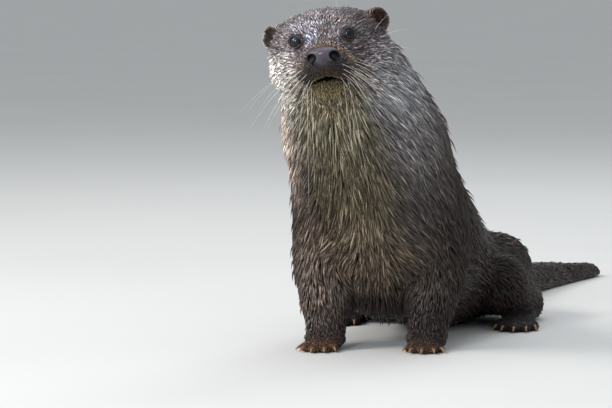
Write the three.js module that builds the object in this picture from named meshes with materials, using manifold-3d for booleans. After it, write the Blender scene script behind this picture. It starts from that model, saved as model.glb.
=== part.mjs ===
/**
 * River otter sitting up on its haunches with both forelegs straight: a still, life-size model.
 *
 * Millimetres, +Z up. The otter looks towards -Y, its left side is +X, and it stands on z = 0.
 * The solids reach out to the tips of the coat. Each is sampled from a distance field made of
 * round cones and ellipsoids, along the axis of its own body part. Outer pieces stay whole, and
 * the pieces they sit in are cut back by a thin gap.
 */
import * as THREE from 'three';
import { mergeVertices } from 'three/addons/utils/BufferGeometryUtils.js';
import Module from 'manifold-3d';

const wasm = await Module();
wasm.setup();

// ---------------------------------------------------------------- driving dimensions

const GAP = 0.3;
const LEFT = 1;
const RIGHT = -1;
const SPINE_STEPS = 4;
const GROUND_REACH = 2000;
const BODY_SIDES = 18;

// Spine from the nape to the tip of the tail: centre, radius, and how far the section widens
// to each side. Sections between these are interpolated.
const SPINE = [
  { name: 'nape', at: [-28, -60, 264], radius: 47, spread: 8 },
  { name: 'neck', at: [-21, -44, 232], radius: 53, spread: 13 },
  { name: 'withers', at: [-13, -18, 188], radius: 57, spread: 19 },
  { name: 'shoulders', at: [-12, 18, 146], radius: 57, spread: 19 },
  { name: 'ribs', at: [-6, 80, 106], radius: 60, spread: 13 },
  { name: 'loin', at: [-1, 160, 67], radius: 57, spread: 9 },
  { name: 'hips', at: [0, 245, 46.6], radius: 47, spread: 10 },
  { name: 'rump', at: [2, 296, 35.6], radius: 36, spread: 8 },
  { name: 'tail_root', at: [4, 340, 23.7], radius: 24, spread: 6 },
  { name: 'tail_a', at: [10, 420, 18], radius: 18.5, spread: 4.5 },
  { name: 'tail_b', at: [22, 515, 13.5], radius: 14, spread: 3 },
  { name: 'tail_c', at: [38, 605, 9.3], radius: 9.8, spread: 1.5 },
  { name: 'tail_tip', at: [58, 690, 5.5], radius: 6, spread: 0 },
];
const SPREAD_BLEND = 22;
const BRISKET = { from: [-8, -2, 128], fromRadius: 44, to: [-10, 40, 86], toRadius: 50 };
const BRISKET_BLEND = 24;

// Lengths of the body between the cuts, from one station of the spine to another.
const TRUNK_PARTS = [
  { name: 'neck', from: 'nape', to: 'withers', rings: 6, color: 0x6f6a63 },
  { name: 'chest', from: 'withers', to: 'ribs', rings: 7, color: 0x5e564c },
  { name: 'waist', from: 'ribs', to: 'loin', rings: 4, color: 0x463e39 },
  { name: 'hips', from: 'loin', to: 'tail_root', rings: 8, color: 0x3a3230 },
];
const TAIL_PARTS = [
  { name: 'tail_base', from: 'tail_root', to: 'tail_a', rings: 5, color: 0x37302e },
  { name: 'tail_middle', from: 'tail_a', to: 'tail_c', rings: 6, color: 0x342e2c },
  { name: 'tail_tip', from: 'tail_c', to: 'tail_tip', rings: 4, color: 0x322c2b },
];
const TAIL_SIDES = 12;
const THIGH_SIDES = 12;
const LIMB_SIDES = 10;
const LIMB_RINGS = 2;
const THIGH_RINGS = 4;
const SOLE_SIDES = 10;
const TOE_SIDES = 6;
const TOE_FACET_DEPTH = Math.cos(Math.PI / TOE_SIDES);
const TOE_PRESS = 0.5;
const CLAW_SIDES = 4;

// Head, in its own frame: x to the left, y to the back, z up, origin between the ears' roots.
const HEAD_AT = [-31, -90, 280];
const HEAD_YAW = 11;
const HEAD_PITCH = 1.5;
const HEAD_ROLL = 8.5;
const HEAD_SIDES = 20;
const HEAD_RINGS = 11;
const EAR_SIDES = 10;
const EAR_RINGS = 3;
const NOSE_SIDES = 10;
const NOSTRIL_SIDES = 6;
const EYE_SIDES = 10;
const HEAD_AXIS = [[0, -50, -17], [0, -20, -12], [0, 8, -7], [0, 26, -5]];
const CRANIUM = { at: [0, 8, 4], radii: [49, 50, 34] };
const CHEEK = { at: [26, 4, -14], radii: [28, 38, 27] };
const BROW = { at: [22, -27, 13], radii: [11, 12, 8] };
const NOSE_BRIDGE = { from: [0, -8, 8], fromRadius: 22, to: [0, -52, -5], toRadius: 10.5 };
const MUZZLE = { from: [0, -18, -12], fromRadius: 30, to: [0, -46, -15], toRadius: 17 };
const WHISKER_PAD = { at: [12, -46, -17], radii: [14.5, 14, 12.5] };
const JAW = { from: [0, -15, -27], fromRadius: 22, to: [0, -45, -30], toRadius: 10.5 };
const HEAD_BLEND = 12;
const NOSE = { at: [0, -59, -7], radii: [14, 8, 9.5] };
const NOSTRIL = { at: [9.5, -66, -7], radii: [3, 4.5, 2.4] };
const EYE = { from: [12, -22, 6], look: [0.5, -0.8, 0.2], radius: 6, depth: 2.6 };
const EAR = { at: [49, 12, 21], width: 10.5, height: 12, depth: 9, wall: 4.5, turn: 28, lean: 8 };
const MOUTH = { top: -25, bottom: -27.6, under: -90, front: -72, back: -22, halfWidth: 21 };

// Forelegs: centres of their joints, then of the palm, and the way the toes point.
const FORELEGS = {
  right: {
    shoulder: [-57, 12, 142], elbow: [-62, 14, 88], forearm: [-59, 2, 54], wrist: [-55, -8, 26],
    palm: [-53, -18, 9], heading: -4,
  },
  left: {
    shoulder: [32, 24, 138], elbow: [41, 30, 86], forearm: [41, 20, 54], wrist: [39, 10, 26],
    palm: [39, 0, 9], heading: 6,
  },
};
const FORELEG_RADII = { shoulder: 33, upperElbow: 27, elbow: 29, forearm: 24, wrist: 18.5 };
const FOREPAW = {
  palm: [18, 18, 10], toeFan: [-32, -16, 0, 16, 32], toeLength: [26, 32, 35, 32, 26],
  toeRadius: 5.6, tipRadius: 4.6, toeRoot: [0, 6, -1.5],
};

// Hind legs: joints of the left one. The right one is its mirror image about the hips' middle.
const HIND_MIDDLE = -3;
const HIND_LEG = {
  rear: [50, 284, 52], hip: [44, 258, 50], knee: [62, 200, 44], haunch: [48, 254, 46],
  shankTop: [66, 202, 38], heel: [76, 272, 18], footBack: [76, 274, 11.5], sole: [82, 220, 9], heading: 6,
};
const HAUNCH_RADII = [37, 57, 42];
const HAUNCH_BLEND = 14;
const HIND_RADII = { hip: 37, knee: 29, shankTop: 24, heel: 15.5, foot: 12, sole: 12.5 };
const HIND_PAW = {
  toeFan: [-20, -10, 0, 10, 20], toeLength: [50, 60, 64, 60, 50],
  toeRadius: 6.6, tipRadius: 5.4,
};

// Claws, from inside the toe's tip to just above the ground.
const CLAW = { length: 9, radius: 2, tipRadius: 0.6, root: 0.5, rise: 0.6, tipHeight: 1.4 };

const COLORS = {
  head: 0x77706a, lower_jaw: 0x6b6049, ear: 0x6a5347, eye: 0x0c0a0a, nose: 0x3c3742,
  arm: 0x463d38, forearm: 0x3f3632, forepaw: 0x5a4438, leg: 0x362f2d, hindpaw: 0x3a3230, claw: 0x6b5040,
};

const ROUGHNESS = { coat: 0.85, claw: 0.5, nose: 0.35, eye: 0.1 };

// ---------------------------------------------------------------- distance fields

/** Distance to an ellipsoid, true close to its surface. */
function ball({ at, radii }) {
  const [cx, cy, cz] = at;
  const [rx, ry, rz] = radii;
  const inner = -Math.min(rx, ry, rz);
  return (p) => {
    const x = (p.x - cx) / rx;
    const y = (p.y - cy) / ry;
    const z = (p.z - cz) / rz;
    const ratio = Math.hypot(x, y, z);
    const slope = Math.hypot(x / rx, y / ry, z / rz);
    return slope > 0 ? ratio * (ratio - 1) / slope : inner;
  };
}

/** Distance to a cone with a ball at each end. */
function roundCone({ from, fromRadius, to, toRadius }) {
  const start = new THREE.Vector3(...from);
  const run = new THREE.Vector3(...to).sub(start);
  const lengthSq = run.lengthSq();
  const taper = fromRadius - toRadius;
  const slant = lengthSq - taper * taper;
  const offset = new THREE.Vector3();
  const across = new THREE.Vector3();
  return (p) => {
    offset.subVectors(p, start);
    const along = offset.dot(run);
    const past = along - lengthSq;
    const acrossSq = across.copy(offset).multiplyScalar(lengthSq).addScaledVector(run, -along).lengthSq();
    const limit = Math.sign(taper) * taper * taper * acrossSq;
    if (Math.sign(past) * slant * past * past * lengthSq > limit) {
      return Math.sqrt(acrossSq + past * past * lengthSq) / lengthSq - toRadius;
    }
    if (Math.sign(along) * slant * along * along * lengthSq < limit) {
      return Math.sqrt(acrossSq + along * along * lengthSq) / lengthSq - fromRadius;
    }
    return (Math.sqrt(acrossSq * slant / lengthSq) + along * taper) / lengthSq - fromRadius;
  };
}

/** Union of fields, rounded over `blend` where they meet. */
function merge(blend, ...fields) {
  return (p) => fields.reduce((sum, field) => {
    const next = field(p);
    const near = Math.max(blend - Math.abs(sum - next), 0) / blend;
    return Math.min(sum, next) - near * near * blend / 4;
  }, Infinity);
}

/** Plain union of fields. */
function join(fields) {
  return (p) => fields.reduce((least, field) => Math.min(least, field(p)), Infinity);
}

/** Both sides of a field given for the left side. */
function paired(make, spec) {
  const [x, y, z] = spec.at;
  return join([make(spec), make({ ...spec, at: [-x, y, z] })]);
}

/** Points of a smooth line through stations, with their radii and spreads. */
function smoothStations(stations, steps) {
  const centres = new THREE.CatmullRomCurve3(stations.map(({ at }) => new THREE.Vector3(...at)));
  const sizes = new THREE.CatmullRomCurve3(
    stations.map(({ radius, spread = 0 }) => new THREE.Vector3(radius, spread, 0)),
  );
  const count = (stations.length - 1) * steps;
  return Array.from({ length: count + 1 }, (_, i) => {
    const at = centres.getPoint(i / count);
    const size = sizes.getPoint(i / count);
    return { at, radius: size.x, spread: size.y };
  });
}

/** Field of a limb or spine: a chain of round cones through the stations, moved sideways. */
function chain(stations, steps, side = 0) {
  const points = smoothStations(stations, steps);
  const place = ({ at, spread }) => [at.x + side * spread, at.y, at.z];
  return join(points.slice(1).map((end, i) => roundCone({
    from: place(points[i]), fromRadius: points[i].radius, to: place(end), toRadius: end.radius,
  })));
}

// ---------------------------------------------------------------- meshes

const CAP_TILTS = [32, 62].map(THREE.MathUtils.degToRad);
const SMALL_CAP_TILTS = [45].map(THREE.MathUtils.degToRad);
const BALL_AXIS = 0.35;
const RAY_START = 0.5;
const RAY_STEP = 0.7;
const RAY_HALVINGS = 14;

/** Point on a ray from `centre` along `direction` at which the field reaches `level`. */
function reach(field, centre, direction, level) {
  const point = new THREE.Vector3();
  const at = (distance) => field(point.copy(centre).addScaledVector(direction, distance)) - level;
  let inside = 0;
  let outside = RAY_START;
  let depth = at(outside);
  while (depth < 0) {
    inside = outside;
    outside += Math.max(-depth * RAY_STEP, RAY_START);
    depth = at(outside);
  }
  for (let i = 0; i < RAY_HALVINGS; i += 1) {
    const middle = (inside + outside) / 2;
    if (at(middle) < 0) {
      inside = middle;
    } else {
      outside = middle;
    }
  }
  return point.copy(centre).addScaledVector(direction, (inside + outside) / 2).clone();
}

/** Closed mesh from rings of points, with one point at each end. */
function skinRings(startPoint, rings, endPoint) {
  const sides = rings[0].length;
  const positions = [startPoint, ...rings.flat(), endPoint].flatMap((p) => [p.x, p.y, p.z]);
  const vertex = (ring, side) => 1 + ring * sides + (side % sides);
  const last = 1 + rings.length * sides;
  const index = [];
  for (let side = 0; side < sides; side += 1) {
    index.push(0, vertex(0, side + 1), vertex(0, side));
    index.push(last, vertex(rings.length - 1, side), vertex(rings.length - 1, side + 1));
    for (let ring = 1; ring < rings.length; ring += 1) {
      const a = vertex(ring - 1, side);
      const b = vertex(ring - 1, side + 1);
      const c = vertex(ring, side + 1);
      const d = vertex(ring, side);
      index.push(a, b, c, a, c, d);
    }
  }
  const geometry = new THREE.BufferGeometry();
  geometry.setAttribute('position', new THREE.Float32BufferAttribute(positions, 3));
  geometry.setIndex(index);
  return geometry;
}

/**
 * Samples a field by rays cast square to an axis, from `from` to `to` of its length.
 * A round end is closed with rays that tilt over towards the axis, a flat one by a disc.
 */
function loft(field, axis, {
  from = 0, to = 1, rings, sides, roundStart = false, roundEnd = false, level = 0, inset = 0,
  tilts = CAP_TILTS,
}) {
  const across = new THREE.Vector3(1, 0, 0);
  const frameAt = (t, shift) => {
    const tangent = axis.getTangent(t);
    const u = across.clone().addScaledVector(tangent, -across.dot(tangent)).normalize();
    const v = new THREE.Vector3().crossVectors(tangent, u);
    return { centre: axis.getPoint(t).addScaledVector(tangent, shift), tangent, u, v };
  };
  const ringAt = ({ centre, tangent, u, v }, tilt) => Array.from({ length: sides }, (_, side) => {
    const angle = side / sides * 2 * Math.PI;
    const direction = new THREE.Vector3()
      .addScaledVector(u, Math.cos(angle) * Math.cos(tilt))
      .addScaledVector(v, Math.sin(angle) * Math.cos(tilt))
      .addScaledVector(tangent, Math.sin(tilt));
    return reach(field, centre, direction, level);
  });
  const first = frameAt(from, roundStart ? 0 : inset);
  const last = frameAt(to, roundEnd ? 0 : -inset);
  const middle = Array.from({ length: rings - 1 }, (_, i) => {
    return frameAt(from + (to - from) * (i + 1) / rings, 0);
  });
  const loops = [first, ...middle, last].map((frame) => ringAt(frame, 0));
  const startLoops = roundStart ? tilts.map((tilt) => ringAt(first, -tilt)).reverse() : [];
  const endLoops = roundEnd ? tilts.map((tilt) => ringAt(last, tilt)) : [];
  const startPoint = roundStart
    ? reach(field, first.centre, first.tangent.clone().negate(), level) : first.centre;
  const endPoint = roundEnd ? reach(field, last.centre, last.tangent, level) : last.centre;
  return solidFrom(skinRings(startPoint, [...startLoops, ...loops, ...endLoops], endPoint));
}

/** Solid of a closed mesh with shared vertices. */
function solidFrom(geometry) {
  return new wasm.Manifold(new wasm.Mesh({
    numProp: 3,
    vertProperties: new Float32Array(geometry.getAttribute('position').array),
    triVerts: new Uint32Array(geometry.getIndex().array),
  }));
}

/** Mesh of a solid. */
function geometryFrom(solid) {
  const { vertProperties, triVerts } = solid.getMesh();
  const geometry = new THREE.BufferGeometry();
  geometry.setAttribute('position', new THREE.BufferAttribute(vertProperties, 3));
  geometry.setIndex(new THREE.BufferAttribute(triVerts, 1));
  geometry.computeVertexNormals();
  return geometry;
}

/** Solid box between two corners. */
function boxBetween(low, high) {
  const box = new THREE.Box3(new THREE.Vector3(...low), new THREE.Vector3(...high));
  const size = box.getSize(new THREE.Vector3());
  const geometry = new THREE.BoxGeometry(size.x, size.y, size.z);
  geometry.translate(...box.getCenter(new THREE.Vector3()).toArray());
  geometry.deleteAttribute('normal');
  geometry.deleteAttribute('uv');
  return solidFrom(mergeVertices(geometry));
}

/** Round cone as a solid. */
function coneSolid(spec, sides, level = 0, options = {}) {
  const axis = new THREE.LineCurve3(new THREE.Vector3(...spec.from), new THREE.Vector3(...spec.to));
  return loft(roundCone(spec), axis, {
    rings: 1, sides, roundStart: true, roundEnd: true, level, tilts: SMALL_CAP_TILTS, ...options,
  });
}

/** Toe, with a flat end inside the paw. */
function toeSolid(toe, level = 0) {
  return coneSolid(toe, TOE_SIDES, level, { roundStart: false });
}

/** Ellipsoid as a solid, sampled along y. */
function ballSolid(spec, sides, level = 0) {
  const [x, y, z] = spec.at;
  const half = spec.radii[1] * BALL_AXIS;
  const axis = new THREE.LineCurve3(new THREE.Vector3(x, y - half, z), new THREE.Vector3(x, y + half, z));
  return loft(ball(spec), axis, { rings: 1, sides, roundStart: true, roundEnd: true, level });
}

// ---------------------------------------------------------------- trunk and tail

const spineNames = SPINE.map(({ name }) => name);
const spineAxis = new THREE.CatmullRomCurve3(SPINE.map(({ at }) => new THREE.Vector3(...at)));
const spineField = merge(SPREAD_BLEND, chain(SPINE, SPINE_STEPS, LEFT), chain(SPINE, SPINE_STEPS, RIGHT));
const trunkField = merge(BRISKET_BLEND, spineField, roundCone(BRISKET));

/** Place of a named station along the spine, from 0 to 1. */
function stationAt(name) {
  return spineNames.indexOf(name) / (spineNames.length - 1);
}

/** One length of the trunk or tail, with flat ends. */
function spinePart({ from, to, rings }, field, sides, options = {}) {
  return loft(field, spineAxis, {
    from: stationAt(from), to: stationAt(to), rings, sides, inset: GAP / 2, ...options,
  });
}

// ---------------------------------------------------------------- head

const headFrame = new THREE.Matrix4()
  .makeTranslation(...HEAD_AT)
  .multiply(new THREE.Matrix4().makeRotationZ(THREE.MathUtils.degToRad(HEAD_YAW)))
  .multiply(new THREE.Matrix4().makeRotationX(THREE.MathUtils.degToRad(-HEAD_PITCH)))
  .multiply(new THREE.Matrix4().makeRotationY(THREE.MathUtils.degToRad(-HEAD_ROLL)));

const headField = merge(
  HEAD_BLEND,
  ball(CRANIUM),
  paired(ball, CHEEK),
  roundCone(NOSE_BRIDGE),
  roundCone(MUZZLE),
  paired(ball, WHISKER_PAD),
  roundCone(JAW),
  paired(ball, BROW),
);

/** Head as one solid in its own frame, before its parts are cut. */
function wholeHead(level = 0) {
  const axis = new THREE.CatmullRomCurve3(HEAD_AXIS.map((p) => new THREE.Vector3(...p)));
  return loft(headField, axis, {
    rings: HEAD_RINGS, sides: HEAD_SIDES, roundStart: true, roundEnd: true, level,
  });
}

/** Nose pad with its two nostrils, `level` larger all round. */
function nosePad(level = 0) {
  const pad = ballSolid(NOSE, NOSE_SIDES, level);
  if (level > 0) {
    return pad;
  }
  return [LEFT, RIGHT].reduce((solid, side) => {
    const [x, y, z] = NOSTRIL.at;
    return solid.subtract(ballSolid({ at: [side * x, y, z], radii: NOSTRIL.radii }, NOSTRIL_SIDES));
  }, pad);
}

/** Eyeball on one side, set `EYE.depth` under the head's surface, `level` larger all round. */
function eyeball(side, level = 0) {
  const start = new THREE.Vector3(side * EYE.from[0], EYE.from[1], EYE.from[2]);
  const look = new THREE.Vector3(side * EYE.look[0], EYE.look[1], EYE.look[2]).normalize();
  const centre = reach(headField, start, look, 0).addScaledVector(look, -EYE.depth);
  const radii = [EYE.radius, EYE.radius, EYE.radius];
  return ballSolid({ at: centre.toArray(), radii }, EYE_SIDES, level);
}

/** Ear on one side: a dish with a rounded rim that opens to the front. A grown one is filled. */
function ear(side, level = 0) {
  const { at, width, height, depth, wall, turn, lean } = EAR;
  const quarterTurn = (count, point) => Array.from({ length: count + 1 }, (_, i) => {
    return point(Math.sin(i / count * Math.PI / 2), Math.cos(i / count * Math.PI / 2));
  });
  const back = quarterTurn(EAR_RINGS, (sin, cos) => [(1 + level / width) * sin, (depth + level) * cos]);
  const bowl = quarterTurn(EAR_RINGS, (sin, cos) => [(1 - wall / width) * cos, (depth - wall) * sin]);
  const rim = [1 - wall / width / 2, -wall / 2 - level];
  const front = level > 0 ? [[0, rim[1]]] : bowl;
  const ring = ([radius, y]) => Array.from({ length: EAR_SIDES }, (_, i) => {
    const angle = i / EAR_SIDES * 2 * Math.PI;
    return new THREE.Vector3(radius * width * Math.cos(angle), y, radius * height * Math.sin(angle));
  });
  const pole = ([, y]) => new THREE.Vector3(0, y, 0);
  const loops = [...back.slice(1), rim, ...front.slice(0, -1)].map(ring);
  const geometry = skinRings(pole(back[0]), loops, pole(front[front.length - 1]));
  geometry.rotateX(THREE.MathUtils.degToRad(-lean));
  geometry.rotateZ(THREE.MathUtils.degToRad(side * turn));
  geometry.translate(side * at[0], at[1], at[2]);
  return solidFrom(geometry);
}

/** All solids of the head, by name, in the frame of the head. */
function headParts() {
  const { top, bottom, under, front, back, halfWidth } = MOUTH;
  const cutters = [nosePad(GAP), eyeball(LEFT, GAP), eyeball(RIGHT, GAP), ear(LEFT, GAP), ear(RIGHT, GAP)];
  const whole = cutters.reduce((solid, cutter) => solid.subtract(cutter), wholeHead());
  const jaw = boxBetween([-halfWidth, front, under], [halfWidth, back, bottom]);
  const jawAndMouth = boxBetween([-halfWidth - GAP, front, under], [halfWidth + GAP, back + GAP, top]);
  return {
    head: whole.subtract(jawAndMouth),
    lower_jaw: whole.intersect(jaw),
    nose: nosePad(),
    eye_left: eyeball(LEFT),
    eye_right: eyeball(RIGHT),
    ear_left: ear(LEFT),
    ear_right: ear(RIGHT),
  };
}

// ---------------------------------------------------------------- legs

/** Point a length and an angle away from another, in the ground's plane, ahead being -Y. */
function ahead([x, y, z], degrees, length, drop = 0) {
  const angle = THREE.MathUtils.degToRad(degrees);
  return [x + Math.sin(angle) * length, y - Math.cos(angle) * length, z - drop];
}

/** Toes and claws that fan out from `root`, the toes' tips pressed a little into the ground. */
function toeSpecs(paw, root, heading) {
  const tipHeight = paw.tipRadius * TOE_FACET_DEPTH - TOE_PRESS;
  return paw.toeFan.map((fan, i) => {
    const angle = heading + fan;
    const tip = ahead(root, angle, paw.toeLength[i], root[2] - tipHeight);
    const clawRoot = ahead(tip, angle, paw.tipRadius * CLAW.root, -CLAW.rise);
    const clawTip = ahead(clawRoot, angle, CLAW.length, tipHeight - CLAW.tipHeight);
    return {
      toe: { from: root, fromRadius: paw.toeRadius, to: tip, toRadius: paw.tipRadius },
      claw: { from: clawRoot, fromRadius: CLAW.radius, to: clawTip, toRadius: CLAW.tipRadius },
    };
  });
}

/** Solid of a paw: its palm or sole and its toes. */
function pawSolid(body, toes, level) {
  return toes.reduce((sum, { toe }) => sum.add(toeSolid(toe, level)), body(level));
}

/** Solid of a limb segment along its stations. */
function limb(stations, sides, level = 0) {
  const axis = new THREE.CatmullRomCurve3(stations.map(({ at }) => new THREE.Vector3(...at)));
  return loft(chain(stations, SPINE_STEPS), axis, {
    rings: LIMB_RINGS * (stations.length - 1), sides, roundStart: true, roundEnd: true, level,
  });
}

/** Claws by name, each cut back to the outside of its own toe. */
function clawParts(name, toes) {
  return Object.fromEntries(toes.map(({ toe, claw }, i) => {
    const solid = coneSolid(claw, CLAW_SIDES, 0, { tilts: [] }).subtract(toeSolid(toe, GAP));
    return [`${name}_${i + 1}`, { solid, color: COLORS.claw }];
  }));
}

/** Foreleg: upper arm, forearm, paw and claws, and the shapes that cut their neighbours. */
function foreleg(side, { shoulder, elbow, forearm, wrist, palm, heading }) {
  const radii = FORELEG_RADII;
  const upperStations = [{ at: shoulder, radius: radii.shoulder }, { at: elbow, radius: radii.upperElbow }];
  const lowerStations = [
    { at: elbow, radius: radii.elbow },
    { at: forearm, radius: radii.forearm },
    { at: wrist, radius: radii.wrist },
  ];
  const toes = toeSpecs(FOREPAW, palm.map((value, i) => value + FOREPAW.toeRoot[i]), heading);
  const palmBall = (level) => ballSolid({ at: palm, radii: FOREPAW.palm }, SOLE_SIDES, level);
  const upper = (level = 0) => limb(upperStations, LIMB_SIDES, level);
  const lower = (level = 0) => limb(lowerStations, LIMB_SIDES, level);
  const paw = (level = 0) => pawSolid(palmBall, toes, level);
  return {
    cutters: [upper(GAP), lower(GAP), paw(GAP)],
    parts: {
      [`upper_arm_${side}`]: { solid: upper().subtract(lower(GAP)).subtract(paw(GAP)), color: COLORS.arm },
      [`forearm_${side}`]: { solid: lower().subtract(paw(GAP)), color: COLORS.forearm },
      [`forepaw_${side}`]: { solid: paw(), color: COLORS.forepaw },
      ...clawParts(`foreclaw_${side}`, toes),
    },
  };
}

/** Hind leg: thigh, shank, long foot and claws, and the shapes that cut their neighbours. */
function hindLeg(side, sign) {
  const radii = HIND_RADII;
  const place = ([x, y, z]) => [sign === LEFT ? x : 2 * HIND_MIDDLE - x, y, z];
  const [rear, hip, knee] = [HIND_LEG.rear, HIND_LEG.hip, HIND_LEG.knee].map(place);
  const [shankTop, heel] = [HIND_LEG.shankTop, HIND_LEG.heel].map(place);
  const [footBack, sole] = [HIND_LEG.footBack, HIND_LEG.sole].map(place);
  const thighField = merge(
    HAUNCH_BLEND,
    roundCone({ from: hip, fromRadius: radii.hip, to: knee, toRadius: radii.knee }),
    ball({ at: place(HIND_LEG.haunch), radii: HAUNCH_RADII }),
  );
  const thighAxis = new THREE.LineCurve3(new THREE.Vector3(...rear), new THREE.Vector3(...knee));
  const thigh = (level = 0) => loft(thighField, thighAxis, {
    rings: THIGH_RINGS, sides: THIGH_SIDES, roundStart: true, roundEnd: true, level,
  });
  const shankStations = [{ at: shankTop, radius: radii.shankTop }, { at: heel, radius: radii.heel }];
  const shank = (level = 0) => limb(shankStations, SOLE_SIDES, level);
  const toes = toeSpecs(HIND_PAW, sole, sign * HIND_LEG.heading);
  const soleCone = { from: footBack, fromRadius: radii.foot, to: sole, toRadius: radii.sole };
  const foot = (level = 0) => pawSolid((grow) => coneSolid(soleCone, SOLE_SIDES, grow), toes, level);
  return {
    cutters: [thigh(GAP), shank(GAP), foot(GAP)],
    parts: {
      [`thigh_${side}`]: { solid: thigh().subtract(shank(GAP)).subtract(foot(GAP)), color: COLORS.leg },
      [`shank_${side}`]: { solid: shank().subtract(foot(GAP)), color: COLORS.leg },
      [`hindfoot_${side}`]: { solid: foot(), color: COLORS.hindpaw },
      ...clawParts(`hindclaw_${side}`, toes),
    },
  };
}

// ---------------------------------------------------------------- the otter

const otter = new THREE.Group();
const ground = boxBetween([-GROUND_REACH, -GROUND_REACH, -GROUND_REACH], [GROUND_REACH, GROUND_REACH, 0]);

/** Adds one named solid to the otter, cut off at the ground. */
function addPart(name, solid, color, roughness = ROUGHNESS.coat) {
  const geometry = geometryFrom(solid.subtract(ground));
  const mesh = new THREE.Mesh(geometry, new THREE.MeshStandardMaterial({ color, roughness, metalness: 0 }));
  mesh.name = name;
  otter.add(mesh);
}

const legs = [
  foreleg('right', FORELEGS.right), foreleg('left', FORELEGS.left),
  hindLeg('right', RIGHT), hindLeg('left', LEFT),
];
const headCutter = [LEFT, RIGHT]
  .reduce((sum, side) => sum.add(ear(side, GAP)), wholeHead(GAP))
  .transform(headFrame.elements);
const trunkCutters = [...legs.flatMap(({ cutters }) => cutters), headCutter];

TRUNK_PARTS.forEach((part) => {
  const whole = spinePart(part, trunkField, BODY_SIDES, { roundStart: part.from === 'nape' });
  addPart(part.name, trunkCutters.reduce((solid, cutter) => solid.subtract(cutter), whole), part.color);
});

TAIL_PARTS.forEach((part) => {
  const solid = spinePart(part, spineField, TAIL_SIDES, { roundEnd: part.to === 'tail_tip' });
  addPart(part.name, solid, part.color);
});

legs.forEach(({ parts }) => Object.entries(parts).forEach(([name, { solid, color }]) => {
  addPart(name, solid, color, name.includes('claw') ? ROUGHNESS.claw : ROUGHNESS.coat);
}));

Object.entries(headParts()).forEach(([name, solid]) => {
  const kind = name.replace(/_left|_right/, '');
  addPart(name, solid.transform(headFrame.elements), COLORS[kind], ROUGHNESS[kind]);
});

const box = new THREE.Box3().setFromObject(otter);
otter.position.set(-(box.min.x + box.max.x) / 2, -(box.min.y + box.max.y) / 2, -box.min.z);

export default otter;
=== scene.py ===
"""River otter sitting up on its haunches, life size: skin, coat, whiskers, eyes, nose and claws.

Lengths are in millimetres in the animal's own frame, with +X to its left, -Y ahead of it and +Z up. A mesh
leaves that frame for the shared one, in metres, as it is made.
"""

from __future__ import annotations

import logging
import math
from collections.abc import Sequence
from dataclasses import dataclass, field, replace
from enum import Enum
from functools import reduce
from itertools import product

import bpy
import numpy as np
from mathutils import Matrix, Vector


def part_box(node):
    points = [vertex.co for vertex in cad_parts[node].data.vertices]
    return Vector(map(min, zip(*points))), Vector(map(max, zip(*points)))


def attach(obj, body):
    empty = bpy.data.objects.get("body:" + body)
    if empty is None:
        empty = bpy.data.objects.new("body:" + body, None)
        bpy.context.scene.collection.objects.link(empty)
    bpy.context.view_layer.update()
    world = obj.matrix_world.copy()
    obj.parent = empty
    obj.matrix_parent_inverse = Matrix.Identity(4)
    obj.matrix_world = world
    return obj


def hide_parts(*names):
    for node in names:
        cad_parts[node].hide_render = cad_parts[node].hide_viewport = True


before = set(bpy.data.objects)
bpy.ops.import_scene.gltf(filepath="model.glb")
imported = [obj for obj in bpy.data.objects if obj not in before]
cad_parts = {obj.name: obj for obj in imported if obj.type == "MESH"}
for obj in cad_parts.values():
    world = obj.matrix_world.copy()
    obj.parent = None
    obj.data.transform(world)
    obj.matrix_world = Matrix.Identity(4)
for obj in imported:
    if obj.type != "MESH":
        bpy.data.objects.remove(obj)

Array = np.ndarray
Span = tuple[float, float]
Triple = tuple[float, float, float]
Colour = tuple[float, float, float]
Joints = tuple[Triple, Triple, Triple, Triple, Triple]
Piece = bpy.types.Object
Material = bpy.types.Material

LOG = logging.getLogger("otter")
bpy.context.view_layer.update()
BODY = "root"
MM = 0.001
ORIGIN = np.array((3.0, -272.5427, 0.0))
LEFT = 1
RIGHT = -1
SIDES = {"left": LEFT, "right": RIGHT}
UP = np.array((0.0, 0.0, 1.0))
TINY = 1e-6
BOUNDLESS = 1e4


def on_side(side: int, point: Triple) -> Triple:
    """A point of the left side, or its mirror image on the right."""
    return (side * point[0], point[1], point[2])


# ---------------- shapes


def soft_least(first: Array, second: Array, softness: float) -> Array:
    """Union of two distances, rounded where they meet.

    Args:
        first: Distances to one surface.
        second: Distances to the other, at the same points.
        softness: How wide the rounding is; 0 leaves a crease.

    Returns:
        Distances to the joined surface.
    """
    least = np.minimum(first, second)
    if softness == 0:
        return least
    near = np.maximum(softness - np.abs(first - second), 0) / softness
    return least - near * near * (softness / 4)


class Shape:
    """A solid known by the distance to its surface, negative inside."""

    def distance(self, points: Array) -> Array:
        """Distance from each point to the surface."""
        raise NotImplementedError

    def box(self) -> tuple[Array, Array]:
        """Lowest and highest corners."""
        raise NotImplementedError

    def sample(self, lattice: Lattice, block: Block) -> Array:
        """Distances at the lattice's points in a block."""
        return self.distance(lattice.points(block)).reshape(block.size())


@dataclass(frozen=True)
class Ball(Shape):
    """Ellipsoid with its radii along the axes."""

    at: Triple
    radii: Triple

    def distance(self, points: Array) -> Array:
        """Distance to the surface, true close to it.

        Args:
            points: Where it is asked for.

        Returns:
            The distances.
        """
        scaled = (points - np.float32(self.at)) / np.float32(self.radii)
        ratio = np.sqrt((scaled * scaled).sum(-1))
        scaled /= np.float32(self.radii)
        slope = np.sqrt((scaled * scaled).sum(-1))
        return ratio * (ratio - 1) / np.maximum(slope, 1e-5)

    def box(self) -> tuple[Array, Array]:
        """Lowest and highest corners."""
        return np.subtract(self.at, self.radii), np.add(self.at, self.radii)

    def on(self, side: int) -> Ball:
        """The ball on one side of the body."""
        return Ball(on_side(side, self.at), self.radii)


def sphere(radius: float, at: Triple = (0, 0, 0)) -> Ball:
    """Ball that is as wide one way as another."""
    return Ball(at, (radius, radius, radius))


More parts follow.
